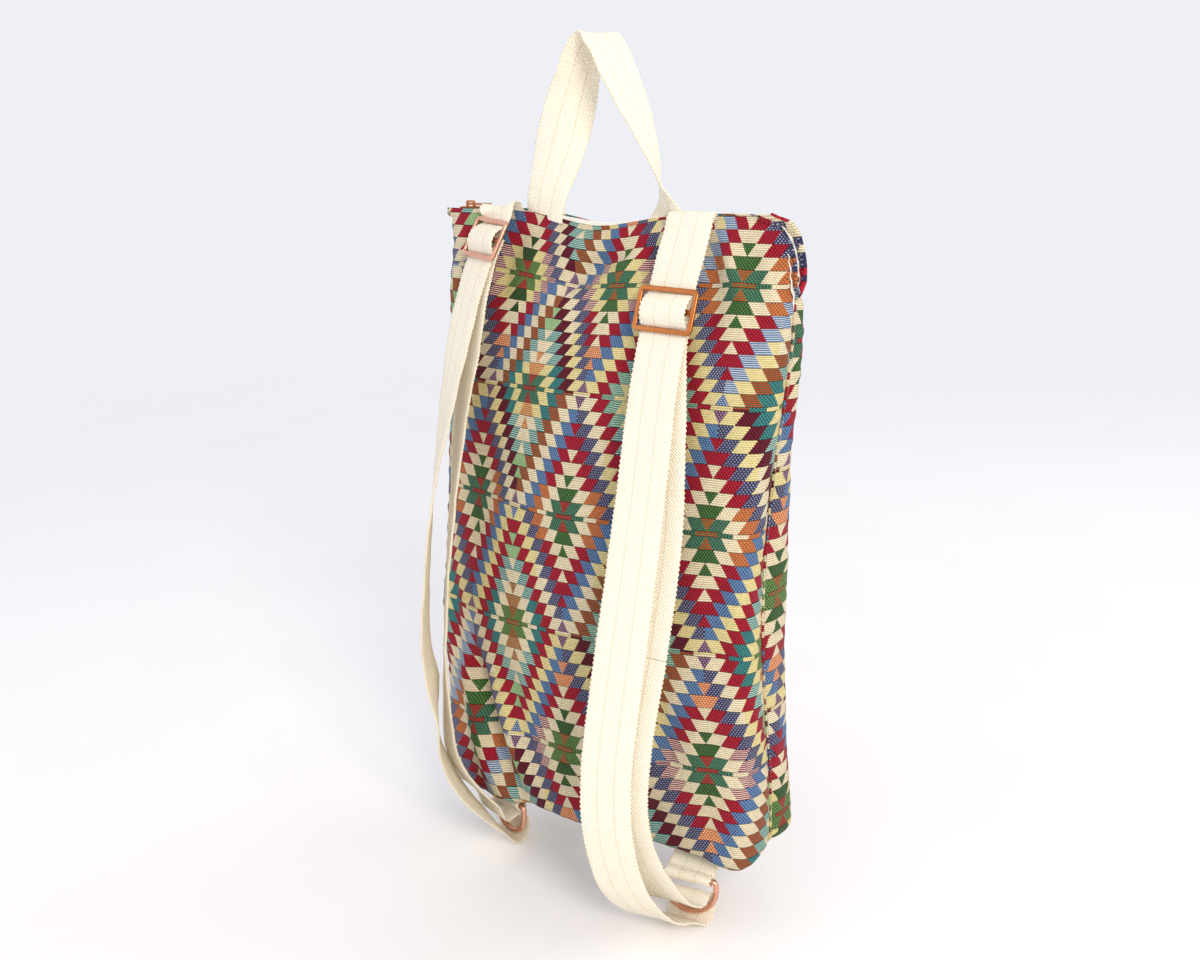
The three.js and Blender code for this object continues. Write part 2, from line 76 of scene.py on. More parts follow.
# %% [markdown]
# ## One set of axes for measuring
#
# A bag is measured up from its base and sideways from its middle, so the routes below use
# such base millimetres. The frame's origin is under the handle's top, so one function turns
# base millimetres into the frame's metres. The height of the grip over the base comes from
# the frame: the base is the lowest edge of the back panel.

# %% From base millimetres to the frame
GRIP_X = 3.0
GRIP_HEIGHT = -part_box("back_panel")[0].z / MM


def to_frame(points):
    """Base millimetres to metres in the frame, for one point or many."""
    return (np.asarray(points, float) - [GRIP_X, 0.0, GRIP_HEIGHT]) * MM


print("the grip is", round(GRIP_HEIGHT, 1), "mm above the base")

# %% [markdown]
# ## The camera
#
# The bag is seen from behind and to its right, a little above its middle, so that the two
# straps lead the eye and the boxed side still shows. A longer lens would flatten the bag and
# a wider one would swell its near corner; this one is close to how an eye sees it from about
# 85 cm. The camera is rolled by a degree and a half, as one in the hand is.

# %% Camera
CAMERA_YAW = math.radians(36.5)
CAMERA_PITCH = math.radians(15.9)
CAMERA_ROLL = math.radians(-1.47)

ahead = Vector((
    -math.sin(CAMERA_YAW) * math.cos(CAMERA_PITCH),
    math.cos(CAMERA_YAW) * math.cos(CAMERA_PITCH),
    -math.sin(CAMERA_PITCH),
))
level = Vector((math.cos(CAMERA_YAW), math.sin(CAMERA_YAW), 0.0))
upward = level.cross(ahead)
camera_x = level * math.cos(CAMERA_ROLL) + upward * math.sin(CAMERA_ROLL)
camera_y = upward * math.cos(CAMERA_ROLL) - level * math.sin(CAMERA_ROLL)

camera_data = bpy.data.cameras.new("camera")
camera_data.lens = 39.0
camera_data.sensor_width = 36.0
camera = bpy.data.objects.new("camera", camera_data)
camera.matrix_world = (
    Matrix.Translation((0.480, -0.657, -0.0422))
    @ Matrix((camera_x, camera_y, -ahead)).transposed().to_4x4()
)
bpy.context.scene.collection.objects.link(camera)
bpy.context.scene.camera = camera
print("the camera looks along", [round(v, 3) for v in ahead])

# %% [markdown]
# ## Helpers for nodes and colours
#
# Every colour below is a plain sRGB hex value, as a dyer's card or a paint chart gives it.
# The renderer works in linear light, so one function converts them. Another adds a shader
# node with its settings and links, and it serves every kind of node.

# %% Colour and node helpers
def linear(hex_colour):
    """An sRGB hex colour as linear red, green, blue and an alpha of 1."""
    shares = [int(hex_colour[i:i + 2], 16) / 255 for i in (0, 2, 4)]
    return [c / 12.92 if c < 0.04045 else ((c + 0.055) / 1.055) ** 2.4 for c in shares] + [1.0]


def put(tree, kind, inputs=(), out=0, **settings):
    """Adds a shader node, sets it, links or fills its inputs and returns one output. A kind in
    capitals, such as "ADD", is a Math node with that operation."""
    if kind.isupper():
        kind, settings = "Math", {"operation": kind}
    node = tree.nodes.new("ShaderNode" + kind)
    for name, value in settings.items():
        setattr(node, name, value)
    for key, value in (inputs.items() if isinstance(inputs, dict) else enumerate(inputs)):
        if isinstance(value, bpy.types.NodeSocket):
            tree.links.new(value, node.inputs[key])
        else:
            node.inputs[key].default_value = value
    return node.outputs[out]


def new_material(name):
    """An empty node material, its tree and its output node."""
    made = bpy.data.materials.new(name)
    made.use_nodes = True
    made.node_tree.nodes.clear()
    surface = made.node_tree.nodes.new("ShaderNodeOutputMaterial")
    return made, made.node_tree, surface.inputs["Surface"]


def fill_ramp(socket, colours):
    """Turns a colour ramp into even steps of the given colours."""
    ramp = socket.node.color_ramp
    ramp.interpolation = "CONSTANT"
    while len(ramp.elements) < len(colours):
        ramp.elements.new(0.5)
    for i, colour in enumerate(colours):
        ramp.elements[i].position = i / len(colours)
        ramp.elements[i].color = colour


print("red thread is", [round(v, 3) for v in linear("B0182B")])

# %% [markdown]
# ## Tapestry cloth
#
# The cloth is a jacquard tapestry in a stepped-diamond design of the kilim kind. Every ring of
# a diamond is a run of slanted tiles. A tile row is 8.2 mm tall and a tile is 9.6 mm wide, and
# the tiles lean half a tile for each row, away from the middle of their diamond. So the whole
# design is one lattice: diamonds stand in columns 53 mm apart, each column shifted by half of
# the 154 mm repeat, and the tiles between two columns are counted outwards in rings. Rings 0
# to 4 belong to one diamond, ring 5 is the pale line it shares, and past that the next
# diamond's rings count back down. A thin row crosses each diamond's middle.
#
# It could be painted on a picture, but a picture has one size. Here the count is made by
# arithmetic on cloth coordinates in millimetres, so that the edges stay sharp at any size.
# The weft is what breaks the tile's slanted sides into steps.

# %% The lattice of tiles, in numbers
COLUMN_MM = 53.0
TILES_PER_COLUMN = 5.5
TILE_MM = COLUMN_MM / TILES_PER_COLUMN
ZONE_MM = 77.0
ROWS_PER_ZONE = 9
THIN_ROW_MM = 3.0
ROW_MM = (ZONE_MM - THIN_ROW_MM) / ROWS_PER_ZONE
WEFTS_PER_ROW = 6
WEFT_MM = ROW_MM / WEFTS_PER_ROW
print("tile", round(TILE_MM, 2), "mm, row", round(ROW_MM, 2), "mm, weft", round(WEFT_MM, 2), "mm")

# %% [markdown]
# ### Thread colours
#
# Each entry is the float thread that shows most, the thread that crosses it, and how they mix:
# 0 plain, 0.5 dotted and 1 striped. Four entries serve each ring. The first two are for its
# flanks or its left-leaning side, and the last two for its side tips or right-leaning side.
# The last eight are rings 3 and 4 of the diamonds in the odd columns.

# %% Thread colours
CREAM, STRAW = "E6D9B8", "DDCE94"
NAVY, MAROON, RED = "30304F", "661A2B", "AC1D30"
THREADS = [
    ("A8202C", "3D4A2C", 0.5), ("5E1726", "23262A", 0.5), ("A8202C", "3F5A35", 0.5), ("A9502C", "4E6B3C",
            1.0),
    ("4E7A40", "1D2A1E", 0.5), ("CF7340", STRAW, 0.5), ("4A7B5E", "1E2C27", 0.5), ("65894A", "26301F", 0.5),
    (CREAM, "CDBE9C", 1.0), (CREAM, "C6B893", 1.0), (STRAW, "C9BB78", 0.5), (CREAM, "CBBD98", 0.5),
    (RED, "45091A", 0.5), ("C8693E", "E3C596", 0.5), ("C9743F", "6E4A3A", 0.5), ("86305A", CREAM, 1.0),
    (NAVY, "8C8EA6", 0.5), ("32365A", "9FA1B0", 0.5), ("6284AE", "26304A", 0.5), ("5676A0", "CBD0CE", 1.0),
    (CREAM, "C9BB98", 1.0), (STRAW, "CFC082", 0.5), ("5F2E55", "A899A8", 0.5), ("44608F", "B0BAC2", 0.5),
    ("3C7F7C", "BFD0BE", 1.0), ("9FBF8B", "66925C", 0.5), ("47866F", "C3D2BE", 1.0), ("3C8583", "1E2C2B",
            0.5),
    (MAROON, "2E0812", 0.5), (RED, "45091A", 0.5), ("A54A2E", "4F5B38", 1.0), (RED, "45091A", 0.5),
]
print(len(THREADS), "thread mixes")


# %% Counting the tiles
def tile_code(tree, across, height):
    """Sockets for a place on the cloth: which thread mix, and the millimetre coordinates."""
    column = put(tree, "ROUND", [put(tree, "DIVIDE", [across, COLUMN_MM])])
    offset = put(tree, "MULTIPLY", [
        put(tree, "SUBTRACT", [put(tree, "DIVIDE", [across, COLUMN_MM]), column]),
        TILES_PER_COLUMN,
    ])
    reach = put(tree, "ABSOLUTE", [offset])
    zone = put(tree, "FLOOR", [put(tree, "DIVIDE", [height, ZONE_MM])])
    rise = put(tree, "SUBTRACT", [height, put(tree, "MULTIPLY", [zone, ZONE_MM])])
    upside = put(tree, "FLOORED_MODULO", [put(tree, "ADD", [column, zone]), 2.0])
    distance = put(tree, "ADD", [
        rise,
        put(tree, "MULTIPLY", [
            upside,
            put(tree, "SUBTRACT", [ZONE_MM, put(tree, "MULTIPLY", [rise, 2.0])]),
        ]),
    ])
    rows = put(tree, "DIVIDE", [put(tree, "SUBTRACT", [distance, THIN_ROW_MM / 2]), ROW_MM])
    row = put(tree, "ADD", [put(tree, "FLOOR", [rows]), 1.0])
    stepped = put(tree, "DIVIDE", [
        put(tree, "ADD", [put(tree, "FLOOR", [put(tree, "MULTIPLY", [rows, WEFTS_PER_ROW])]), 0.5]),
        WEFTS_PER_ROW,
    ])
    born = put(tree, "MULTIPLY", [
        put(tree, "FLOOR", [put(tree, "DIVIDE", [put(tree, "SUBTRACT", [row, 1.0]), 2.0])]),
        2.0,
    ])
    leaning = put(tree, "DIVIDE", [put(tree, "SUBTRACT", [stepped, born]), 2.0])
    thin = put(tree, "GREATER_THAN", [put(tree, "ABSOLUTE", [put(tree, "SUBTRACT", [row, 5.0])]), 4.5])
    first_edge = put(tree, "ADD", [
        leaning,
        put(tree, "MULTIPLY", [thin, put(tree, "SUBTRACT", [0.75, leaning])]),
    ])
    band = put(tree, "ADD", [put(tree, "FLOOR", [put(tree, "SUBTRACT", [reach, first_edge])]), 1.0])
    count = put(tree, "ADD", [band, put(tree, "FLOOR", [put(tree, "DIVIDE", [row, 2.0])])])
    beyond = put(tree, "GREATER_THAN", [count, TILES_PER_COLUMN])
    ring = put(tree, "ABSOLUTE", [
        put(tree, "SUBTRACT", [put(tree, "MULTIPLY", [beyond, 10.0]), count]),
    ])
    own_row = put(tree, "ABSOLUTE", [
        put(tree, "SUBTRACT", [put(tree, "MULTIPLY", [beyond, 10.0]), row]),
    ])
    own_band = put(tree, "SUBTRACT", [ring, put(tree, "FLOOR", [put(tree, "DIVIDE", [own_row, 2.0])])])

    # Which diamond the tile belongs to, and which of its quarters.
    turn = put(tree, "SUBTRACT", [1.0, put(tree, "MULTIPLY", [beyond, 2.0])])
    side = put(tree, "SIGN", [offset])
    own_column = put(tree, "ADD", [column, put(tree, "MULTIPLY", [beyond, side])])
    lean_up = put(tree, "SUBTRACT", [1.0, put(tree, "MULTIPLY", [upside, 2.0])])
    own_zone = put(tree, "ADD", [
        put(tree, "ADD", [zone, upside]),
        put(tree, "MULTIPLY", [beyond, lean_up]),
    ])
    quarter = put(tree, "MULTIPLY", [
        put(tree, "MULTIPLY", [side, turn]),
        put(tree, "MULTIPLY", [lean_up, turn]),
    ])
    odd = put(tree, "FLOORED_MODULO", [own_column, 2.0])
    place = put(tree, "CombineXYZ", [own_column, own_zone, ring])
    chance = put(tree, "TexWhiteNoise", [place], noise_dimensions="3D")

    # The second pair of mixes is for side tips on the inner rings, and for one lean on ring 4.
    tip = put(tree, "LESS_THAN", [own_row, put(tree, "ADD", [put(tree, "MULTIPLY", [ring, 0.5]), 1.1])])
    outer = put(tree, "GREATER_THAN", [ring, 3.5])
    leans = put(tree, "LESS_THAN", [quarter, 0.0])
    pair = put(tree, "ADD", [put(tree, "MULTIPLY", [outer, put(tree, "SUBTRACT", [leans, tip])]), tip])
    is_third = put(tree, "COMPARE", [ring, 3.0, 0.1])
    flank = put(tree, "MULTIPLY", [is_third, put(tree, "GREATER_THAN", [own_band, 0.5])])
    steady = put(tree, "MULTIPLY", [flank, put(tree, "SUBTRACT", [1.0, pair])])
    other = put(tree, "MULTIPLY", [
        put(tree, "GREATER_THAN", [chance, 0.5]),
        put(tree, "SUBTRACT", [1.0, steady]),
    ])
    is_first = put(tree, "COMPARE", [ring, 1.0, 0.1])
    heart = put(tree, "MULTIPLY", [is_first, put(tree, "SUBTRACT", [1.0, pair])])
    other = put(tree, "ADD", [
        put(tree, "MULTIPLY", [other, put(tree, "SUBTRACT", [1.0, heart])]),
        put(tree, "MULTIPLY", [heart, odd]),
    ])
    is_line = put(tree, "GREATER_THAN", [ring, 4.5])
    pair = put(tree, "MULTIPLY", [pair, put(tree, "SUBTRACT", [1.0, is_line])])
    variant = put(tree, "ADD", [put(tree, "MULTIPLY", [pair, 2.0]), other])
    late = put(tree, "MULTIPLY", [
        put(tree, "GREATER_THAN", [ring, 2.5]),
        put(tree, "SUBTRACT", [1.0, is_line]),
    ])
    code = put(tree, "ADD", [put(tree, "MULTIPLY", [ring, 4.0]), variant])
    code = put(tree, "ADD", [code, put(tree, "MULTIPLY", [put(tree, "MULTIPLY", [late, odd]), 12.0])])

    # The small diamond between two big ones: the middle tile of the last row.
    small = put(tree, "MULTIPLY", [
        put(tree, "GREATER_THAN", [own_row, 8.5]),
        put(tree, "LESS_THAN", [own_band, 0.5]),
    ])
    small = put(tree, "MULTIPLY", [small, put(tree, "SUBTRACT", [1.0, is_line])])
    small_code = put(tree, "ADD", [22.0, put(tree, "GREATER_THAN", [chance, 0.5])])
    code = put(tree, "ADD", [
        code,
        put(tree, "MULTIPLY", [small, put(tree, "SUBTRACT", [small_code, code])]),
    ])
    return {"code": code, "rows": rows, "chance": chance, "ring": ring, "heart": heart}


# %% [markdown]
# ### The weave under the colours
#
# Close up, the cloth has a rib for each weft, 1.4 mm apart, and the mixed threads show as
# staggered dots or as lines. Both come from the same millimetre coordinates. A raised rib is
# only a tenth of a millimetre high, so it is bump, and a little fuzz noise keeps the threads
# from looking printed. Wool and cotton scatter light widely: high roughness and a soft sheen.

# %% Tapestry material
def make_tapestry(name):
    """The tapestry cloth, read from the UV map called weave, which is in metres."""
    made, tree, surface = new_material(name)

    place = put(tree, "UVMap", uv_map="weave")
    parts = put(tree, "SeparateXYZ", [place])
    across = put(tree, "MULTIPLY", [parts, 1 / MM])
    height = put(tree, "MULTIPLY", [parts.node.outputs[1], 1 / MM])
    fuzz = put(tree, "TexNoise", {"Vector": place, "Scale": 900.0, "Detail": 2.0})
    wobble = put(tree, "MULTIPLY", [put(tree, "SUBTRACT", [fuzz, 0.5]), 0.5])
    tiles = tile_code(tree, put(tree, "ADD", [across, wobble]), height)

    spot = put(tree, "DIVIDE", [put(tree, "ADD", [tiles["code"], 0.5]), float(len(THREADS))])
    face, cross, style = (put(tree, "ValToRGB", [spot]) for _ in range(3))
    fill_ramp(face, [linear(main) for main, _, _ in THREADS])
    fill_ramp(cross, [linear(second) for _, second, _ in THREADS])
    fill_ramp(style, [[mix, mix, mix, 1.0] for _, _, mix in THREADS])

    weft = put(tree, "MULTIPLY", [tiles["rows"], float(WEFTS_PER_ROW)])
    weft_share = put(tree, "FRACT", [weft])
    stagger = put(tree, "MULTIPLY", [
        put(tree, "FLOORED_MODULO", [put(tree, "FLOOR", [weft]), 2.0]),
        0.5,
    ])
    warp_share = put(tree, "FRACT", [put(tree, "ADD", [put(tree, "DIVIDE", [across, 2.0]), stagger])])
    dots = put(tree, "MULTIPLY", [
        put(tree, "LESS_THAN", [warp_share, 0.44]),
        put(tree, "LESS_THAN", [weft_share, 0.62]),
    ])
    lines = put(tree, "LESS_THAN", [weft_share, 0.36])
    dotted = put(tree, "COMPARE", [style, 0.5, 0.2])
    striped = put(tree, "GREATER_THAN", [style, 0.8])
    crossing = put(tree, "ADD", [
        put(tree, "MULTIPLY", [dotted, dots]),
        put(tree, "MULTIPLY", [striped, lines]),
    ])
    mixed = put(tree, "MixRGB", [put(tree, "MULTIPLY", [crossing, 0.95]), face, cross])

    # Rows of tiles meet in a groove, drawn darker there as painted shade, and yarn is never one even
    # colour.
    row_share = put(tree, "FRACT", [tiles["rows"]])
    row_groove = put(tree, "GREATER_THAN", [
        put(tree, "ABSOLUTE", [put(tree, "SUBTRACT", [row_share, 0.5])]),
        0.455,
    ])
    yarn = put(tree, "TexNoise", {"Vector": place, "Scale": 260.0, "Detail": 3.0, "Roughness": 0.7})
    shade = put(tree, "ADD", [0.74, put(tree, "MULTIPLY", [yarn, 0.44])])
    shade = put(tree, "SUBTRACT", [shade, put(tree, "MULTIPLY", [row_groove, 0.3])])
    # Painted shade: the gaps between weft ribs are drawn darker, most where the warp thread dips.
    between = put(tree, "GREATER_THAN", [weft_share, 0.74])
    warp_dip_shade = put(tree, "MULTIPLY", [put(tree, "GREATER_THAN", [warp_share, 0.62]), 0.5])
    shade = put(tree, "SUBTRACT", [
        shade,
        put(tree, "MULTIPLY", [put(tree, "MULTIPLY", [between, put(tree, "ADD", [warp_dip_shade, 0.5])]), 0.55]),
    ])
    deep = put(tree, "MULTIPLY", [tiles["heart"], put(tree, "MULTIPLY", [tiles["chance"], 0.45])])
    shade = put(tree, "SUBTRACT", [shade, deep])
    colour = put(tree, "VectorMath", {0: mixed, "Scale": shade}, operation="SCALE")

    rib = put(tree, "SINE", [put(tree, "MULTIPLY", [weft_share, math.pi])])
    thread = put(tree, "SINE", [put(tree, "MULTIPLY", [warp_share, 2 * math.pi])])
    relief = put(tree, "ADD", [rib, put(tree, "MULTIPLY", [thread, 0.25])])
    relief = put(tree, "ADD", [relief, put(tree, "MULTIPLY", [fuzz, 0.5])])
    relief = put(tree, "SUBTRACT", [relief, put(tree, "MULTIPLY", [row_groove, 0.8])])
    bump = put(tree, "Bump", {"Height": relief, "Strength": 0.75, "Distance": 0.00035})
    cloth = put(tree, "BsdfPrincipled", {
        "Base Color": colour, "Roughness": 0.88, "Normal": bump,
        "Sheen Weight": 0.06, "Sheen Roughness": 0.5, "IOR": 1.5, "Specular IOR Level": 0.15,
    })
    tree.links.new(cloth, surface)
    return made


tapestry = make_tapestry("kilim_tapestry_cotton")
print("tapestry has", len(tapestry.node_tree.nodes), "nodes")

# %% [markdown]
# ## Cotton herringbone webbing
#
# The handle, the straps and the ring tabs are one 32 mm cotton webbing, undyed. It is woven in
# three zones whose twill lines lean to and fro, so it reads as herringbone. The lines are
# really 1.3 mm apart; they are drawn at 1.9 mm so that they show. Each zone's edge is a small
# valley where the lines meet.

# %% Webbing material
WEBBING_WIDTH = 32.0
TWILL_MM = 1.9
ZONES = 3


def make_webbing(name, main, shadow):
    """Herringbone cotton, read from the UV map weave: metres across and along the webbing."""
    made, tree, surface = new_material(name)

    place = put(tree, "UVMap", uv_map="weave")
    parts = put(tree, "SeparateXYZ", [place])
    across = put(tree, "MULTIPLY", [parts, 1 / MM])
    along = put(tree, "MULTIPLY", [parts.node.outputs[1], 1 / MM])
    zones = put(tree, "DIVIDE", [across, WEBBING_WIDTH / ZONES])
    zone_share = put(tree, "FRACT", [zones])
    lean = put(tree, "SUBTRACT", [
        1.0,
        put(tree, "MULTIPLY", [put(tree, "FLOORED_MODULO", [put(tree, "FLOOR", [zones]), 2.0]), 2.0]),
    ])
    sideways = put(tree, "MULTIPLY", [put(tree, "MULTIPLY", [zone_share, WEBBING_WIDTH / ZONES]), lean])
    slant = put(tree, "ADD", [along, put(tree, "MULTIPLY", [sideways, 0.85])])
    fuzz = put(tree, "TexNoise", {"Vector": place, "Scale": 1100.0, "Detail": 2.0})
    slant = put(tree, "ADD", [slant, put(tree, "MULTIPLY", [fuzz, 0.5])])
    line = put(tree, "SINE", [put(tree, "MULTIPLY", [slant, 2 * math.pi / TWILL_MM])])
    ridge = put(tree, "ADD", [put(tree, "MULTIPLY", [line, 0.5]), 0.5])
    from_edge = put(tree, "ABSOLUTE", [put(tree, "SUBTRACT", [zone_share, 0.5])])
    valley = put(tree, "GREATER_THAN", [from_edge, 0.465])
    yarn = put(tree, "TexNoise", {"Vector": place, "Scale": 180.0, "Detail": 3.0})
    gap = put(tree, "MULTIPLY", [put(tree, "SUBTRACT", [1.0, ridge]), 0.8])
    gap = put(tree, "ADD", [gap, put(tree, "MULTIPLY", [valley, 0.35])])
    gap = put(tree, "ADD", [gap, put(tree, "MULTIPLY", [put(tree, "SUBTRACT", [yarn, 0.5]), 0.3])])
    colour = put(tree, "MixRGB", [gap, linear(main), linear(shadow)])
    relief = put(tree, "ADD", [ridge, put(tree, "MULTIPLY", [fuzz, 0.35])])
    relief = put(tree, "SUBTRACT", [relief, put(tree, "MULTIPLY", [valley, 0.7])])
    bump = put(tree, "Bump", {"Height": relief, "Strength": 0.8, "Distance": 0.00035})
    cotton = put(tree, "BsdfPrincipled", {
        "Base Color": colour, "Roughness": 0.85, "Normal": bump,
        "Sheen Weight": 0.06, "Sheen Roughness": 0.4, "IOR": 1.5, "Specular IOR Level": 0.15,
    })
    tree.links.new(cotton, surface)
    return made


webbing_cotton = make_webbing("herringbone_cotton_webbing", "FCF7E8", "E0D2B4")
print("webbing twill lines are", TWILL_MM, "mm apart")

# %% [markdown]
# ## Zip cloth and nylon
#
# The zip is a nylon coil sewn to woven cream tape. The tape has fine ribs along it and no
# shine. The coil is a bent monofilament, a little translucent and glossier than cloth.

# %% Zip materials
def make_tape(name):
    """Fine plain-woven tape with ribs 0.9 mm apart along its length."""
    made, tree, surface = new_material(name)
    place = put(tree, "UVMap", uv_map="weave")
    rib = put(tree, "TexWave", {"Vector": place, "Scale": 0.3 / (0.9 * MM), "Distortion": 0.6},
              wave_type="BANDS", bands_direction="X")
    # Painted shade: the colour darkens in the low part of each rib.
    colour = put(tree, "MixRGB", [rib, linear("DDD6C8"), linear("F3EFE6")])
    bump = put(tree, "Bump", {"Height": rib, "Strength": 0.5, "Distance": 0.0002})
    tape = put(tree, "BsdfPrincipled", {
        "Base Color": colour, "Roughness": 0.8, "Normal": bump, "Sheen Weight": 0.1,
    })
    tree.links.new(tape, surface)
    return made


def make_nylon(name):
    """White nylon monofilament, with faint unevenness from its heat-set bends."""
    made, tree, surface = new_material(name)
    place = put(tree, "TexCoord", out=3)
    uneven = put(tree, "TexNoise", {"Vector": place, "Scale": 400.0})
    colour = put(tree, "MixRGB", [uneven, linear("E4E4E0"), linear("F7F6F1")])
    nylon = put(tree, "BsdfPrincipled", {
        "Base Color": colour, "Roughness": 0.38, "IOR": 1.53, "Subsurface Weight": 0.15,
        "Subsurface Radius": (0.001, 0.001, 0.001),
    })
    tree.links.new(nylon, surface)
    return made


zip_tape_cloth = make_tape("woven_zip_tape")
zip_nylon = make_nylon("nylon_coil")
print("zip materials made")

# %% [markdown]
# ## Copper and rose-gold plating
#
# The glides, rings and zip fittings are die-cast zinc, polished and plated. The plating is a
# metal, so its colour tints what it reflects. Handling leaves faint rubbed patches, which
# change the roughness from place to place, and a soft orange-peel unevenness from the plating
# bath bends reflections slightly.

# %% Plated metal
def make_plating(name, bright, deep, roughness):
    """Polished plating with rubbed patches; bright and deep are two tones of one metal."""
    made, tree, surface = new_material(name)
    place = put(tree, "TexCoord", out=3)
    rubbed = put(tree, "TexNoise", {"Vector": place, "Scale": 140.0, "Detail": 4.0})
    grain = put(tree, "TexNoise", {"Vector": place, "Scale": 900.0, "Detail": 2.0})
    colour = put(tree, "MixRGB", [rubbed, linear(deep), linear(bright)])
    gloss = put(tree, "MapRange", {"Value": rubbed, "To Min": roughness - 0.08, "To Max": roughness + 0.12})
    bump = put(tree, "Bump", {"Height": grain, "Strength": 0.12, "Distance": 0.0002})
    metal = put(tree, "BsdfPrincipled", {
        "Base Color": colour, "Metallic": 1.0, "Roughness": gloss, "Normal": bump,
    })
    tree.links.new(metal, surface)
    return made


copper = make_plating("copper_plated_zinc", "D08A55", "B4652F", 0.3)
rose_gold = make_plating("rose_gold_plated_zinc", "F0BDA4", "DE9A80", 0.26)
print("plated metals:", copper.name, rose_gold.name)

# %% [markdown]
# ## The shape of the filled bag
#
# The bag is two panels of cloth. They meet at a seam down each side and under the base, and
# the base corners are boxed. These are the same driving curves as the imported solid's: the
# width to each side, the depth, and how square the section is, at heights above the base.
# The back's left half hangs rounder than the rest, because nothing fills that corner.

# %% Driving curves
HALF_WIDTH_RIGHT = [
    (0, 128), (60, 128), (130, 127), (200, 126.5), (250, 128.5), (300, 134),
    (340, 138), (370, 140), (382, 138), (391, 134), (396.5, 128), (400, 117),
]
HALF_WIDTH_LEFT = [
    (0, 126), (30, 134), (70, 141), (110, 143), (160, 139), (210, 133),
    (300, 124), (360, 119), (390, 117), (400, 116),
]
HALF_DEPTH = [
    (0, 36), (50, 40), (120, 42), (190, 40), (260, 35), (310, 29), (350, 21), (378, 13), (400, 8),
]
SQUARENESS = [(0, 7), (50, 5), (120, 4.4), (290, 4.2), (350, 3.4), (380, 3.6), (400, 7)]
BACK_LEFT_SQUARENESS = [(0, 7), (40, 3), (100, 2.1), (290, 2.1), (350, 3), (380, 3.6), (400, 7)]
BAG_HEIGHT, BASE_HALF_DEPTH, BASE_EDGE_RADIUS = 400.0, 36.0, 9.0
TOP_MIDDLE_X, HEM_DIP, DIP_WIDTH = 6.0, 8.0, 38.0
ZIP_MOUTH_HALF, CLOTH_THICKNESS, SEAM_GAP = 6.0, 2.0, 0.3


def smooth_between(value, low, high):
    """0 below low, 1 above high, and an even S between."""
    share = np.clip((np.asarray(value, float) - low) / (high - low), 0, 1)
    return share * share * (3 - 2 * share)


def profile(stations, height):
    """A smooth value through (height, value) stations."""
    heights, values = np.array(stations, float).T
    slopes = np.zeros(len(heights))
    slopes[1:-1] = (values[2:] - values[:-2]) / (heights[2:] - heights[:-2])
    height = np.clip(height, heights[0], heights[-1])
    i = np.clip(np.searchsorted(heights, height, side="right") - 1, 0, len(heights) - 2)
    span = heights[i + 1] - heights[i]
    t = (height - heights[i]) / span
    start, end = values[i], values[i + 1]
    bend = slopes[i] * t * (1 - t) ** 2 - slopes[i + 1] * t * t * (1 - t)
    return start + (end - start) * t * t * (3 - 2 * t) + span * bend


def dip_at(x):
    """How much of the hem's dip between the handle's legs there is at x, from 0 to 1."""
    return np.exp(-(((x - TOP_MIDDLE_X) / DIP_WIDTH) ** 2))


print("half depth at mid height", round(float(profile(HALF_DEPTH, 200)), 1), "mm")


# %% A point on the bag's wall
def wall_points(side, across, height, gather):
    """Outer wall in base mm. across runs from the right seam to the left; gather 0 is the wall
    and 1 the seam under the base."""
    angle = np.pi * across
    c, s = np.cos(angle), np.sin(angle)
    boxy = profile(SQUARENESS, height)
    if side < 0:
        boxy = np.where(c < 0, profile(BACK_LEFT_SQUARENESS, height), boxy)
    reach = (np.abs(c) ** boxy + np.abs(s) ** boxy) ** (-1 / boxy)
    width = np.where(c > 0, profile(HALF_WIDTH_RIGHT, height), profile(HALF_WIDTH_LEFT, height))
    width = width - gather * BASE_HALF_DEPTH
    depth = profile(HALF_DEPTH, height) * (1 - gather)
    right_mouth = smooth_between(height, 352, 364) * (1 - smooth_between(across, 0.2, 0.5))
    left_mouth = smooth_between(height, 391, 396) * (1 - smooth_between(1 - across, 0.2, 0.5))
    mouth = (ZIP_MOUTH_HALF + CLOTH_THICKNESS) * np.maximum(right_mouth, left_mouth)
    flat = gather ** 2
    x = width * (reach * c * (1 - flat) + (1 - 2 * across) * flat)
    y = np.maximum(mouth, SEAM_GAP / 2 + depth * reach * s)
    z = height - HEM_DIP * dip_at(x) * (height / BAG_HEIGHT) ** 9
    return np.stack([x, side * y, z], axis=-1)


middle_back = wall_points(-1, np.array([0.5]), np.array([200.0]), np.array([0.0]))
print("middle of the back is at", middle_back.round(1).tolist())

# %% [markdown]
# ## Folds in the cloth
#
# A soft bag is told by its folds, and each has a cause. The handle lifts the middle of the
# top, so creases run down from it. The boxed corner at the lower left has too much cloth, so
# it pinches into a slanted fold. The side seams pull in and pucker, because thread shrinks
# more than cloth. A cloth simulation could find such folds, but not these ones in these
# places, so each is set down as a crease from one point to another, with its own width and
# depth, and long soft waves fill in between.

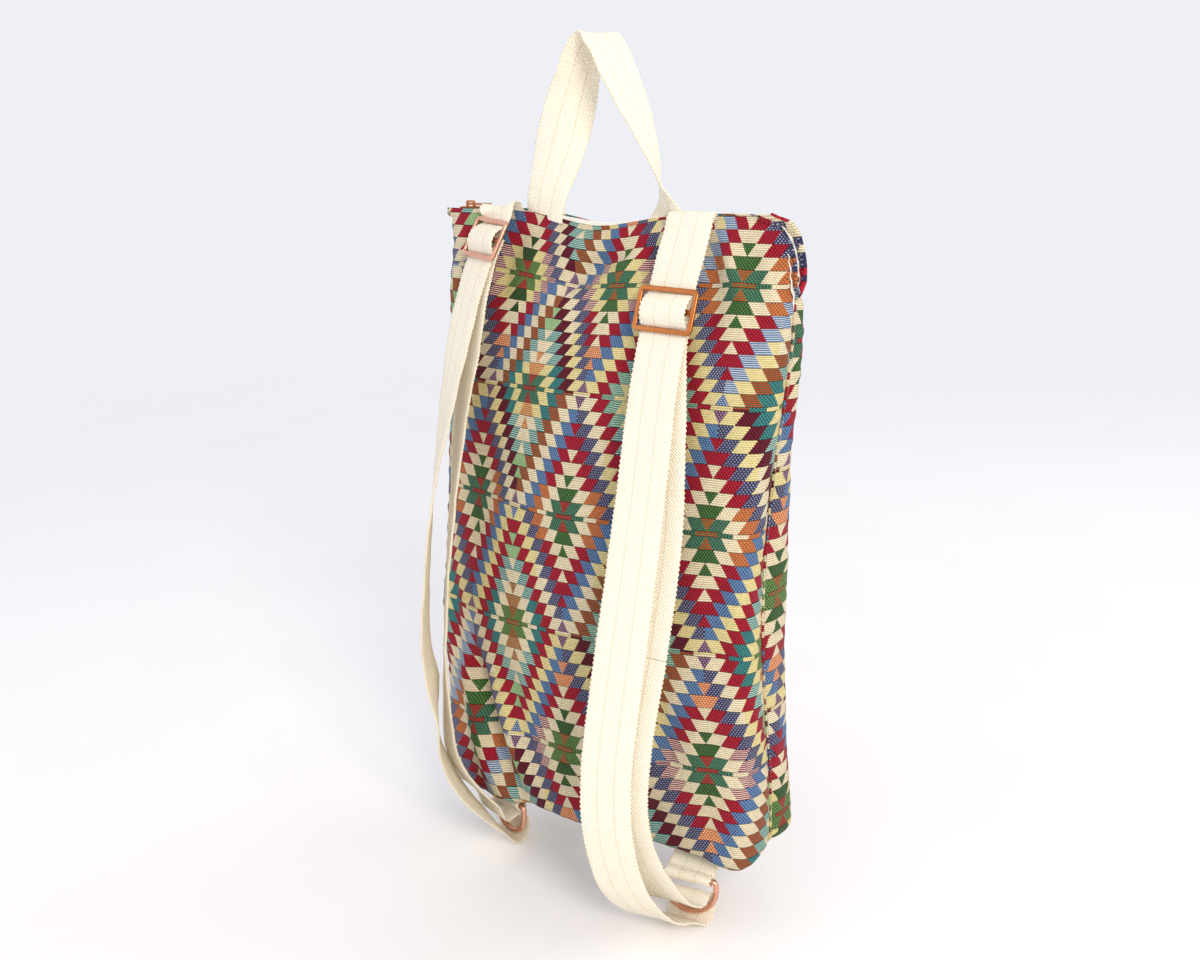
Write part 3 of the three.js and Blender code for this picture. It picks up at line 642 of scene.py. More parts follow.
# %% Creases
# (start x, start height, end x, end height, half width, depth); a negative depth stands out
BACK_CREASES = [
    (38, 388, -30, 344, 7, 5.0), (20, 396, -52, 366, 8, -3.0), (-4, 392, -30, 330, 9, -2.5),
    (-48, 392, -66, 340, 7, 2.6), (46, 392, 60, 330, 8, 2.5), (12, 392, 4, 300, 13, 2.4),
    (98, 392, 116, 350, 6, -2.4), (88, 393, 100, 330, 8, 2.0), (118, 384, 126, 330, 7, 2.2),
    (-98, 392, -84, 340, 7, 2.2), (-112, 380, -92, 300, 8, -2.0),
    (-96, 104, -44, 4, 7, 5.5), (-106, 92, -66, 2, 9, -5.0), (-74, 88, -30, 6, 9, -4.0),
    (-118, 150, -100, 60, 8, 2.8), (-60, 250, -96, 170, 18, 2.2), (20, 240, -20, 120, 26, 1.6),
    (60, 120, 96, 22, 12, 2.2), (108, 210, 118, 110, 8, 1.8), (30, 52, -10, 8, 11, 2.2),
    (112, 96, 104, 12, 9, 1.8), (52, 40, 84, 6, 8, 1.6),
]
FRONT_CREASES = [
    (40, 388, -26, 348, 9, 4.0), (-30, 392, 20, 330, 10, 3.0), (100, 390, 118, 330, 8, 2.6),
    (96, 110, 40, 6, 9, 4.0), (-100, 110, -50, 6, 9, 4.5), (60, 260, 20, 160, 24, 2.0),
    (-60, 240, -90, 140, 20, 2.4), (116, 220, 108, 90, 9, 2.4), (0, 120, 30, 20, 18, 2.0),
]


def crease_depth(x, height, creases):
    """How far the creases push each point out, in mm; along each the cloth also swells beside."""
    push = np.zeros_like(x)
    for x0, h0, x1, h1, width, depth in creases:
        run = np.array([x1 - x0, h1 - h0], float)
        length = np.hypot(*run)
        run /= length
        along = ((x - x0) * run[0] + (height - h0) * run[1]) / length
        bow = 0.12 * length * np.sin(np.pi * np.clip(along, 0, 1))
        aside = (x - x0) * run[1] - (height - h0) * run[0] - bow * 0.35
        fade = smooth_between(along, -0.12, 0.22) * (1 - smooth_between(along, 0.62, 1.12))
        line = np.exp(-((aside / width) ** 2))
        beside = np.exp(-(((np.abs(aside) - 1.9 * width) / (1.1 * width)) ** 2))
        push -= depth * fade * (line - 0.3 * beside)
    return push


def waves(u, v, seed):
    """Long soft waves and short faint ones, the same on every run."""
    rng = np.random.default_rng(seed)
    total = np.zeros_like(u)
    for wavelength, size, count in ((120, 1.1, 4), (58, 0.55, 5), (24, 0.22, 7), (11, 0.08, 8)):
        for _ in range(count):
            turn, phase = rng.uniform(0, math.pi), rng.uniform(0, 2 * math.pi)
            stretch = rng.uniform(0.75, 1.3)
            slope = (u * math.cos(turn) + v * math.sin(turn)) * 2 * math.pi / (wavelength * stretch)
            total += size * np.sin(slope + phase) / math.sqrt(count)
    return total


print(len(BACK_CREASES), "creases on the back,", len(FRONT_CREASES), "on the front")

# %% [markdown]
# ## Laying the weave on the cloth
#
# Woven tiles keep their size, so the cloth coordinates are arc lengths measured along the
# wall. The handle's pull leans the columns of diamonds to the right near the top, and the sag
# at the lower left drops the rows there. The lists say where four columns and five rows of
# diamonds cross the back; between them the arc length is shared out evenly.

# %% Where the weave's columns and rows lie
COLUMN_HEIGHTS = [0, 48, 130, 212, 290, 360, 400]
COLUMN_PLACES = [
    (-106, [-86, -89, -92, -86, -69, -44, -38]),
    (-53, [-48, -50, -50, -47, -35, -9, -3]),
    (0, [-9, -8, -6, -5, 8, 27, 32]),
    (106, [104, 102, 100, 99.5, 105, 112, 113]),
]
ROW_COLUMNS_X = [-88, -6, 102]
ROW_PLACES = [(48, 50, 65), (129, 133, 142), (214, 212, 218), (290, 292, 293), (364, 359, 362)]


def row_lengths(points):
    """Arc length from the first column to each point, along every row of a grid."""
    steps = np.linalg.norm(np.diff(points, axis=1), axis=-1)
    return np.concatenate([np.zeros((len(points), 1)), np.cumsum(steps, axis=1)], axis=1)


def lay_weave_back(points, heights, base_step):
    """Cloth coordinates in mm for the back panel's grid of points."""
    arcs = row_lengths(points)
    u = np.zeros(points.shape[:2])
    for i, row in enumerate(points):
        xs, arc = row[::-1, 0], arcs[i, ::-1]
        places = [np.interp(heights[i], COLUMN_HEIGHTS, spots) for _, spots in COLUMN_PLACES]
        cloth = [float(name) for name, _ in COLUMN_PLACES]
        at = np.interp(places, xs, arc)
        at = np.concatenate([[at[0] + 400], at, [at[-1] - 400]])
        cloth = [cloth[0] - 400] + cloth + [cloth[-1] + 400]
        u[i] = np.interp(arcs[i], at[::-1], cloth[::-1])
    level = np.zeros(points.shape[:2])
    for i in range(len(points)):
        x = points[i, :, 0]
        lines = np.array([np.interp(x, ROW_COLUMNS_X, places) for places in ROW_PLACES])
        own = base_step[i] if heights[i] <= 0 else heights[i]
        spots = (own - lines[0]) / (lines[1] - lines[0])
        for k in range(len(lines) - 1):
            share = (own - lines[k]) / (lines[k + 1] - lines[k])
            spots = np.where(own > lines[k], k + share, spots)
        level[i] = spots * ZONE_MM
    return u, level


def lay_weave_front(points, heights, base_step):
    """Plain arc lengths for the front panel, measured from the right-hand seam."""
    arcs = row_lengths(points)
    level = np.where(heights <= 0, base_step, heights)[:, None] * np.ones(points.shape[1])
    return 12.0 - arcs, level - 175.0


print("columns of diamonds at", [name for name, _ in COLUMN_PLACES], "mm across the cloth")

# %% [markdown]
# ## Building a panel
#
# A grid is laid over the panel: rows run from the seam under the base, round the base's edge
# and up to the hem, and columns run from one side seam to the other. Each point is moved out
# or in by the folds, along the surface's own normal. Near the seams and the hem the folds
# fade, because stitching holds the cloth there. Then the sheet is given its thickness.

# %% Grid to mesh
def add_piece(name, points, faces, material):
    """A smooth mesh object from points in metres and faces."""
    mesh = bpy.data.meshes.new(name)
    mesh.from_pydata(points.reshape(-1, 3).tolist(), [], faces)
    mesh.polygons.foreach_set("use_smooth", np.ones(len(mesh.polygons), bool))
    mesh.materials.append(material)
    made = bpy.data.objects.new(name, mesh)
    bpy.context.scene.collection.objects.link(made)
    return made


def add_weave(piece, corners):
    """Writes the cloth coordinates of each face corner, given in mm, as the UV map weave."""
    layer = piece.data.uv_layers.new(name="weave")
    layer.data.foreach_set("uv", (corners * MM).reshape(-1).astype(np.float32))


def grid_mesh(name, points, u, v, material):
    """A mesh object from a grid of points in metres, with cloth coordinates in mm."""
    rows, columns = points.shape[:2]
    index = np.arange(rows * columns).reshape(rows, columns)
    quads = np.stack([index[:-1, :-1], index[:-1, 1:], index[1:, 1:], index[1:, :-1]], axis=-1)
    quads = quads.reshape(-1, 4)
    made = add_piece(name, points, quads.tolist(), material)
    add_weave(made, np.stack([u.reshape(-1), v.reshape(-1)], axis=-1)[quads.reshape(-1)])
    return made


def apply_modifiers(piece):
    """Makes the piece's mesh what its modifiers show."""
    depsgraph = bpy.context.evaluated_depsgraph_get()
    final = bpy.data.meshes.new_from_object(piece.evaluated_get(depsgraph))
    piece.modifiers.clear()
    piece.data = final
    return piece


def surface_normals(points):
    """Unit normals of a grid of points."""
    down = np.gradient(points, axis=0)
    over = np.gradient(points, axis=1)
    normals = np.cross(over, down)
    return normals / np.maximum(np.linalg.norm(normals, axis=-1, keepdims=True), 1e-9)


# %% The two panels
PANEL_COLUMNS = 170
SEAM_SHIFT = [(0, 0), (50, -1), (100, -7), (150, -10), (195, -8), (260, -1), (330, 3), (365, 0), (400, 0)]
BASE_SAG = [(-110, 10), (-80, 13), (-50, 11), (0, 8), (45, 6), (66, 4.5), (95, 4.5), (108, 8), (122, 9),
        (130, 6)]


def panel_rows():
    """Heights and gathers of the grid's rows, and the signed distance from the base's edge."""
    quarter = np.linspace(0, math.pi / 2, 9)
    edge_height = BASE_EDGE_RADIUS * (1 - np.cos(quarter))
    edge_gather = BASE_EDGE_RADIUS * (1 - np.sin(quarter)) / BASE_HALF_DEPTH
    under = np.linspace(1, edge_gather[0], 18)[:-1]
    wall = np.concatenate([
        np.arange(BASE_EDGE_RADIUS + 2.2, 340, 2.2), np.linspace(340, BAG_HEIGHT, 36),
    ])
    heights = np.concatenate([np.zeros(len(under)), edge_height, wall])
    gathers = np.concatenate([under, edge_gather, np.zeros(len(wall))])
    return heights, gathers, -gathers * BASE_HALF_DEPTH


def make_panel(name, side, creases, lay_weave, seed):
    """One cloth panel as a folded sheet with thickness."""
    heights, gathers, base_step = panel_rows()
    across = 0.5 - 0.5 * np.cos(np.linspace(0, math.pi, PANEL_COLUMNS)) * 0.999
    across = 0.35 * across + 0.65 * np.linspace(0, 1, PANEL_COLUMNS)
    across[0], across[-1] = 0.0, 1.0
    over, up = np.meshgrid(across, heights)
    gather = gathers[:, None] * np.ones_like(over)
    points = wall_points(side, over, up, gather)
    u, v = lay_weave(points, heights, base_step)

    from_right = row_lengths(points)
    from_seam = np.minimum(from_right, from_right[:, -1:] - from_right)
    from_hem = BAG_HEIGHT - up

    push = crease_depth(points[..., 0], up, creases) + waves(u, v, seed)
    push *= smooth_between(from_hem, 0, 26) * smooth_between(from_seam, 2, 26)
    pucker = np.sin(v * 2 * np.pi / 13.0) + 0.6 * np.sin(v * 2 * np.pi / 8.3 + 1.0)
    push += 0.75 * pucker * np.exp(-from_seam / 13) * smooth_between(from_seam, 0.5, 6)
    push -= 3.0 * np.exp(-((from_seam / 5.5) ** 2)) * smooth_between(from_seam, -0.1, 0.1)
    ruffle = np.sin(u * 2 * np.pi / 17.0) + 0.7 * np.sin(u * 2 * np.pi / 9.7 + 0.6)
    push += 0.5 * ruffle * np.exp(-from_hem / 9) * smooth_between(from_hem, 0.5, 7)
    push += 1.0 * smooth_between(from_hem, 3, 9) * (1 - smooth_between(from_hem, 9, 16))
    push *= 1 - smooth_between(gather, 0.75, 1.0)
    push *= 1 - np.exp(-((from_seam / 9) ** 2) - (from_hem / 12) ** 2)
    normals = surface_normals(points) * side * -1
    outward = np.sign(np.einsum("ijk,k->ij", normals, [0.0, side, 0.0]))
    middle = outward[len(heights) // 2, PANEL_COLUMNS // 2]
    folded = points + normals * middle * push[..., None]
    folded[..., 1] = np.where(side * folded[..., 1] < 0.2, side * 0.2, folded[..., 1])

    # The right seam wanders towards the straps halfway down, and both panels go with it.
    shift = profile(SEAM_SHIFT, up) * np.exp(-((from_right / 34) ** 2))
    folded[..., 1] += shift * (1 - gather)

    # The base is not stiff: its back edge hangs, most of all where cloth is spare.
    sag = np.interp(points[..., 0], *np.array(BASE_SAG, float).T) * np.exp(-((up / 45) ** 2))
    sag = sag * (1 - gather) * smooth_between(from_seam, 0, 36)
    if side < 0:
        folded[..., 2] -= sag
        folded[..., 1] -= 0.25 * sag
        v = v - sag

    made = grid_mesh(name, to_frame(folded), u, v, tapestry)
    if side < 0:
        made.data.flip_normals()
    body = made.modifiers.new("thickness", "SOLIDIFY")
    body.thickness = 1.3 * MM
    body.offset = -1.0
    return apply_modifiers(made)


back_cloth = make_panel("back_cloth", -1, BACK_CREASES, lay_weave_back, 11)
front_cloth = make_panel("front_cloth", 1, FRONT_CREASES, lay_weave_front, 12)
for piece, node in ((back_cloth, "back_panel"), (front_cloth, "front_panel")):
    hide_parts(node)
    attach(piece, "bag")
    print(piece.name, len(piece.data.polygons), "faces")

# %% [markdown]
# ## Curves to follow
#
# Webbing, zip and wire all follow routes. A route is a short list of points, and
# a centripetal Catmull-Rom curve runs through them, which neither overshoots nor loops where
# the points are unevenly spaced. The imported solids use the same curve, so the cloth pieces
# land where the solids are.

# %% Catmull-Rom routes
def catmull(points, per_span=40):
    """Dense points on a centripetal Catmull-Rom curve, and each one's place in the list."""
    points = np.asarray(points, float)
    ends = [2 * points[0] - points[1], 2 * points[-1] - points[-2]]
    full = np.vstack([ends[0], points, ends[1]])
    made, places = [], []
    for i in range(len(points) - 1):
        p0, p1, p2, p3 = full[i:i + 4]
        d0, d1, d2 = (max(np.linalg.norm(b[:3] - a[:3]) ** 0.5, 1e-4) for a,
                b in ((p0, p1), (p1, p2), (p2, p3)))
        m1 = ((p1 - p0) / d0 - (p2 - p0) / (d0 + d1) + (p2 - p1) / d1) * d1
        m2 = ((p2 - p1) / d1 - (p3 - p1) / (d1 + d2) + (p3 - p2) / d2) * d1
        last = i == len(points) - 2
        for t in np.linspace(0, 1, per_span + 1)[:None if last else -1]:
            cubic = (2 * p1 - 2 * p2 + m1 + m2) * t ** 3 + (-3 * p1 + 3 * p2 - 2 * m1 - m2) * t ** 2
            made.append(cubic + m1 * t + p1)
            places.append(i + t)
    return np.array(made), np.array(places)


def even_steps(dense, step):
    """Resamples rows of dense (x, y, z, more...) at even steps of arc length."""
    lengths = np.concatenate([[0], np.cumsum(np.linalg.norm(np.diff(dense[:, :3], axis=0), axis=1))])
    count = max(int(round(lengths[-1] / step)), 2)
    at = np.linspace(0, lengths[-1], count + 1)
    return np.stack([np.interp(at, lengths, dense[:, k]) for k in range(dense.shape[1])], axis=1), at


print("a 10 mm square's smooth length", round(float(even_steps(catmull(
    [[0, 0, 0], [10, 0, 0], [10, 10, 0], [0, 10, 0]])[0], 1)[1][-1]), 1), "mm")

# %% [markdown]
# ## Webbing
#
# Webbing is a band with rounded, scalloped edges: each scallop is where the weft turns back.
# It could be a curve with a bevel, but a bevel turns freely and loses the way the band faces.
# Here the route says, point by point, how far the band's width is turned from the bag's
# width, and the band is built across that line with a real thickness. Its cloth coordinates
# are millimetres across and along, so that the herringbone runs on over every bend.

# %% A webbing band
WEBBING_THICKNESS = 1.5
SCALLOP_MM = 3.0
BAND_SHARES = np.array([-1.0, -0.985, -0.93, -0.62, -0.31, 0.0, 0.31, 0.62, 0.93, 0.985, 1.0])
BAND_THICKNESS = np.array([0.12, 0.62, 1.0, 1.0, 1.0, 1.04, 1.0, 1.0, 1.0, 0.62, 0.12])


def band_frames(route, step):
    """Even steps along a route of (x, y, height, turn): places, widths' directions, faces."""
    route = np.asarray(route, float)
    dense, places = catmull(route[:, :3])
    turns = np.interp(places, np.arange(len(route)), route[:, 3])
    stepped, at = even_steps(np.column_stack([dense, turns]), step)
    middle, turn = stepped[:, :3], np.radians(stepped[:, 3])
    run = np.gradient(middle, axis=0)
    run /= np.linalg.norm(run, axis=1, keepdims=True)
    wide = np.stack([np.cos(turn), np.sin(turn), np.zeros_like(turn)], axis=1)
    out = np.cross(wide, run)
    out /= np.linalg.norm(out, axis=1, keepdims=True)
    wide = np.cross(run, out)
    return middle, wide, out, at


def make_band(name, route, start=0.0, width=WEBBING_WIDTH, step=0.8, cup=0.0, seed=1):
    """A webbing band as a closed mesh; start is where its pattern begins, in mm."""
    middle, wide, out, at = band_frames(route, step)
    along = at + start
    half = width / 2 + 0.4 * np.sin(along * 2 * np.pi / SCALLOP_MM)
    rng = np.random.default_rng(seed)
    phases = rng.uniform(0, 2 * math.pi, 3)
    ripple = 0.22 * np.sin(along / 9.0 + phases[0]) + 0.16 * np.sin(along / 4.1 + phases[1])
    rows = []
    for face in (1, -1):
        for share, thick in zip(BAND_SHARES[::face], BAND_THICKNESS[::face]):
            curl = cup * share ** 2 + ripple * share ** 3
            offset = face * thick * WEBBING_THICKNESS / 2 + curl
            rows.append(middle + wide * (half * share)[:, None] + out * offset[:, None])
    points = np.stack(rows, axis=1)
    u = np.concatenate([BAND_SHARES, BAND_SHARES[::-1]]) * width / 2 + width / 2
    count = len(rows)
    index = np.arange(len(at) * count).reshape(len(at), count)
    around = np.roll(index, -1, axis=1)
    quads = np.stack([index[:-1], around[:-1], around[1:], index[1:]], axis=-1).reshape(-1, 4)
    caps = [index[0, ::-1].tolist(), index[-1].tolist()]
    made = add_piece(name, to_frame(points), quads.tolist() + caps, webbing_cotton)
    grid = np.stack(np.broadcast_arrays(u[None, :], along[:, None]), axis=-1).reshape(-1, 2)
    add_weave(made, grid[[loop.vertex_index for loop in made.data.loops]])
    return made, at[-1]


# %% [markdown]
# ### The top handle
#
# Both ends of the handle are sewn into the hem, flat. The band twists a quarter turn on each
# side, so that at the top it lies over the fingers.

# %% Handle
HANDLE_ROUTE = [
    (-36, -7, 395, -8), (-33.5, -7, 409, -4), (-27, -4, 431, 12), (-20.5, -2, 452, 38),
    (-12.5, 0, 478, 66), (-5.5, 0, 494.5, 72), (3, 0, 503, 74), (10.5, 0, 496, 76),
    (18.5, 0, 481, 80), (31, -1, 458, 90), (43.4, -3, 432, 112), (50.3, -4, 412, 130),
    (52.8, -4, 403, 148), (54, -4, 395, 170),
]
handle, handle_length = make_band("handle_webbing", HANDLE_ROUTE, seed=3)
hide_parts("top_handle")
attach(handle, "bag")
print("handle webbing", round(handle_length), "mm")

# %% [markdown]
# ## The glides, the rings and how they face
#
# Each fitting has a centre, a turn from the bag's width, and a lean. Its own axes follow: width
# level, up along its lean, and out towards the wearer. The same three numbers place the imported
# solids.

# %% Fitting axes
GLIDES = {"right": ((71, -33, 348), 0, (0.07, 0.34, 0.94)),
        "left": ((-72, -23.5, 383), -20, (0.26, 0.4, 0.88))}
RINGS = {"right": ((84, -32, -19), 10), "left": ((-76, -22, -17), -16)}
GLIDE_WIDTH, GLIDE_HEIGHT, GLIDE_BAR, GLIDE_THICKNESS = 41.0, 27.0, 3.0, 2.0
RING_WIRE, RING_HALF_WIDTH, RING_STRAIGHT = 1.9, 18.9, 6.0


def fitting_axes(turn, lean):
    """Columns are a fitting's width, up and outward directions."""
    angle = math.radians(turn)
    wide = np.array([math.cos(angle), math.sin(angle), 0.0])
    up = np.array(lean, float)
    up = up - wide * (up @ wide) * 0.6
    up /= np.linalg.norm(up)
    out = np.cross(wide, up)
    out /= np.linalg.norm(out)
    return np.column_stack([np.cross(up, out), up, out])


print("right glide faces", fitting_axes(*GLIDES["right"][1:])[:, 2].round(2))

# %% [markdown]
# ### Tri-glides
#
# A tri-glide is a flat plate with two slots and a bar between them. Casting rounds its edges,
# so a filled 2-D curve with a small bevel is the quickest true shape: the bevel gives the
# rounded edge that catches the light.

# %% Glides
def rounded_loop(width, height, radius, lift=0.0):
    """Points of a rounded rectangle, in mm."""
    loop = []
    for corner in range(4):
        cx = (width / 2 - radius) * (1 if corner in (0, 3) else -1)
        cy = (height / 2 - radius) * (1 if corner in (0, 1) else -1)
        for share in np.linspace(0, math.pi / 2, 7):
            angle = corner * math.pi / 2 + share
            loop.append((cx + radius * math.cos(angle), cy + radius * math.sin(angle) + lift))
    return loop


def make_glide(side, material):
    """One tri-glide as a bevelled plate with two slots."""
    place, turn, lean = GLIDES[side]
    bevel = 0.62
    slot_height = (GLIDE_HEIGHT - 3 * GLIDE_BAR) / 2
    lift = (slot_height + GLIDE_BAR) / 2
    inner = GLIDE_WIDTH - 2 * GLIDE_BAR
    loops = [rounded_loop(GLIDE_WIDTH - 2 * bevel, GLIDE_HEIGHT - 2 * bevel, 3.5 - bevel)]
    loops += [rounded_loop(inner + 2 * bevel, slot_height + 2 * bevel, 1.6, s * lift) for s in (-1, 1)]
    curve = bpy.data.curves.new(f"glide_{side}", "CURVE")
    curve.dimensions = "2D"
    curve.fill_mode = "BOTH"
    curve.extrude = (GLIDE_THICKNESS / 2 - bevel) * MM
    curve.bevel_depth = bevel * MM
    curve.bevel_resolution = 3
    for loop in loops:
        spline = curve.splines.new("POLY")
        spline.points.add(len(loop) - 1)
        for point, (x, y) in zip(spline.points, loop):
            point.co = (x * MM, y * MM, 0, 1)
        spline.use_cyclic_u = True
    flat = bpy.data.objects.new(f"glide_{side}_curve", curve)
    bpy.context.scene.collection.objects.link(flat)
    bpy.context.view_layer.update()
    mesh = bpy.data.meshes.new_from_object(flat)
    bpy.data.objects.remove(flat)
    axes = Matrix(fitting_axes(turn, lean).tolist()).to_4x4()
    mesh.transform(Matrix.Translation(to_frame(place).tolist()) @ axes)
    mesh.materials.clear()
    mesh.materials.append(material)
    made = bpy.data.objects.new(f"tri_glide_{side}", mesh)
    bpy.context.scene.collection.objects.link(made)
    weld = made.modifiers.new("weld", "WELD")
    weld.merge_threshold = 0.00001
    apply_modifiers(made)
    made.data.polygons.foreach_set("use_smooth", np.ones(len(made.data.polygons), bool))
    made.data.set_sharp_from_angle(angle=math.radians(35))
    return made


for side, material, word in (("left", rose_gold, "rose_gold_plate"), ("right", copper, "copper_plate")):
    glide = make_glide(side, material)
    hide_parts(f"glide_{side}")
    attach(glide, f"{side}_glide")
    print(glide.name, len(glide.data.polygons), "faces")

# %% [markdown]
# ### D-rings
#
# A D-ring is wire bent to a bow with a straight bar across its top, welded where the ends
# meet. It is a tube swept round one closed path with small corner bends.

# %% Rings
def make_tube(name, path, radius, material, sides=20, closed=False):
    """A round tube along points in metres."""
    path = np.asarray(path, float)
    if closed:
        run = np.roll(path, -1, axis=0) - np.roll(path, 1, axis=0)
    else:
        run = np.gradient(path, axis=0)
    run /= np.linalg.norm(run, axis=1, keepdims=True)
    side = np.cross(run[0], [0.3, 0.2, 0.9])
    rings = []
    for at, ahead_here in zip(path, run):
        side = side - ahead_here * (side @ ahead_here)
        side /= np.linalg.norm(side)
        other = np.cross(ahead_here, side)
        angles = np.linspace(0, 2 * math.pi, sides, endpoint=False)[:, None]
        rings.append(at + (np.cos(angles) * side + np.sin(angles) * other) * radius)
    points = np.array(rings)
    index = np.arange(len(path) * sides).reshape(len(path), sides)
    if closed:
        index = np.vstack([index, index[:1]])
    around = np.roll(index, -1, axis=1)
    quads = np.stack([index[:-1], around[:-1], around[1:], index[1:]], axis=-1).reshape(-1, 4).tolist()
    if not closed:
        quads += [index[0, ::-1].tolist(), index[-1].tolist()]
    return add_piece(name, points, quads, material)


def ring_path():
    """The D's centre line in its own width and up axes, in mm, clockwise from the bar."""
    corner = 3.0
    loop = []
    for angle in np.linspace(math.pi / 2, 0, 8):
        loop.append((RING_HALF_WIDTH - corner + corner * math.cos(angle),
                -corner + corner * math.sin(angle)))
    for angle in np.linspace(0, -math.pi, 48):
        loop.append((RING_HALF_WIDTH * math.cos(angle), -RING_STRAIGHT + RING_HALF_WIDTH * math.sin(angle)))
    for angle in np.linspace(math.pi, math.pi / 2, 8):
        loop.append((-RING_HALF_WIDTH + corner + corner * math.cos(angle),
                -corner + corner * math.sin(angle)))
    for x in np.linspace(-RING_HALF_WIDTH + corner, RING_HALF_WIDTH - corner, 14)[1:-1]:
        loop.append((x, 0.0))
    return np.array(loop)


def make_ring(side, material):
    """One D-ring in its place."""
    place, turn = RINGS[side]
    axes = fitting_axes(turn, (0, 0, 1))
    loop = ring_path()
    points = np.array(place) + loop[:, :1] * axes[:, 0] + loop[:, 1:] * axes[:, 1]
    return make_tube(f"ring_wire_{side}", to_frame(points), RING_WIRE * MM, material, closed=True)


for side in ("left", "right"):
    ring = make_ring(side, rose_gold)
    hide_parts(f"d_ring_{side}")
    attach(ring, f"{side}_ring")
    print(ring.name, len(ring.data.polygons), "faces")

# %% [markdown]
# ### Ring tabs
#
# A short length of the same webbing is sewn under the base and folded round the ring's bar,
# so the ring can swing. It is one band: out along the top, round the bar and back.

# %% Tabs
def make_tab(side, sign):
    """The folded tab that holds a ring's bar."""
    place, turn = RINGS[side]
    end = np.array(place, float)
    middle, _ = catmull([
        (sign * 82, -2.5, -1.8), (sign * 83, -11, -3.2), end + [0, 7, 6], end,
    ], 12)
    angle = math.radians(turn)
    wide = np.array([math.cos(angle), math.sin(angle), 0.0])
    run = np.gradient(middle, axis=0)
    run /= np.linalg.norm(run, axis=1, keepdims=True)
    out = np.cross(wide, run)
    out /= np.linalg.norm(out, axis=1, keepdims=True)
    layer = 0.85
    fold = RING_WIRE + 0.3 + WEBBING_THICKNESS / 2
    upper, lower = ([m + o * lift for m, o in list(zip(middle, out))[:-6:3]] for lift in (layer, -layer))
    last_run, last_out = run[-1], out[-1]
    around = []
    for share in np.linspace(math.radians(112), math.radians(-112), 9):
        at = end + last_run * fold * math.cos(share) + last_out * fold * math.sin(share)
        around.append((*at, turn))
    turns = [turn * min(1.0, share * 1.2) for share in np.linspace(0, 1, len(upper))]
    route = [(*p, t) for p, t in zip(upper, turns)] + around
    route += [(*p, t) for p, t in zip(lower[::-1], turns[::-1])]
    return make_band(f"tab_webbing_{side}", route, step=0.7, seed=5)


for side, sign in (("left", -1), ("right", 1)):
    tab, tab_length = make_tab(side, sign)
    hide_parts(f"ring_tab_{side}")
    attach(tab, "bag")
    print(tab.name, round(tab_length), "mm of webbing")

# %% [markdown]
# ## Shoulder straps
#
# Each strap leaves the hem, passes the glide, hangs down to the ring, goes round its bow and
# comes back up to the glide's middle bar. It has three pieces, because on the bag they move
# differently: the long outer band with its loop, which bends with the ring; the return band,
# whose top goes with the glide; and the short hump where the webbing shows over the glide's bar.
# Here the hump goes with the glide, and the two bands stay where they are laid. The bands'
# facing is set at each point, because a hanging strap turns as it falls.

# %% Strap routes
STRAP_CLEARANCE = 0.9
RIGHT_TOP = [(75, -7.6, 395, 0), (75, -7.8, 401.3, 0), (75, -10.5, 400.8, 0), (74.5, -14.5, 391, 0)]
LEFT_TOP = [(-70, -6.7, 395, 0), (-70, -6.9, 401.3, 0), (-69.5, -10.6, 401.5, -17)]
RIGHT_OUTER = [
    (70, -46, 300, 3), (69.5, -57, 250, 8), (67.5, -69, 190, 14), (64.5, -83, 120, 20),
    (62, -90, 70, 22), (63, -90, 28, 20), (68, -80, -12, 16), (76, -62, -35, 11),
    (81.5, -47, -42.5, 10),
]
RIGHT_INNER = [
    (83, -56, -22, 10), (73, -71, 4, 14), (67.5, -80, 40, 20), (68.5, -78, 85, 21),
    (73, -66, 145, 17), (76, -52, 215, 10), (74.5, -43, 285, 4),
]
LEFT_OUTER = [
    (-80, -34, 345, -21), (-84, -44, 310, -24), (-87, -53, 275, -34), (-93, -62, 225, -48),
    (-98, -68, 170, -53), (-101, -71, 115, -56), (-96.5, -71, 86, -60), (-95, -70.5, 64, -46),
    (-97.5, -68, 39, -46), (-94, -65, 22, -48), (-88, -58, 2, -46), (-83, -47, -16, -38),
    (-79, -36, -31, -28),
]
LEFT_INNER = [
    (-81, -39, -12, -18), (-86, -50, 4, -19), (-91, -57, 20, -24), (-93, -61, 36, -29),
    (-93.5, -62, 65, -38), (-92, -62, 112, -46), (-89, -58, 165, -46), (-85, -52, 220, -42),
    (-82, -45, 270, -33), (-79, -37, 312, -24),
]


def glide_spot(side, up, out):
    """A route point given in a glide's own axes."""
    place, turn, lean = GLIDES[side]
    at = np.array(place) + fitting_axes(turn, lean) @ [0, up, out]
    return (*at, turn)


def ring_spot(side, along, drop):
    """A route point given as a distance towards the wearer and below a ring's bar."""
    place, turn = RINGS[side]
    angle = math.radians(turn)
    return (
        place[0] + along * math.sin(angle), place[1] - along * math.cos(angle), place[2] - drop, turn,
    )


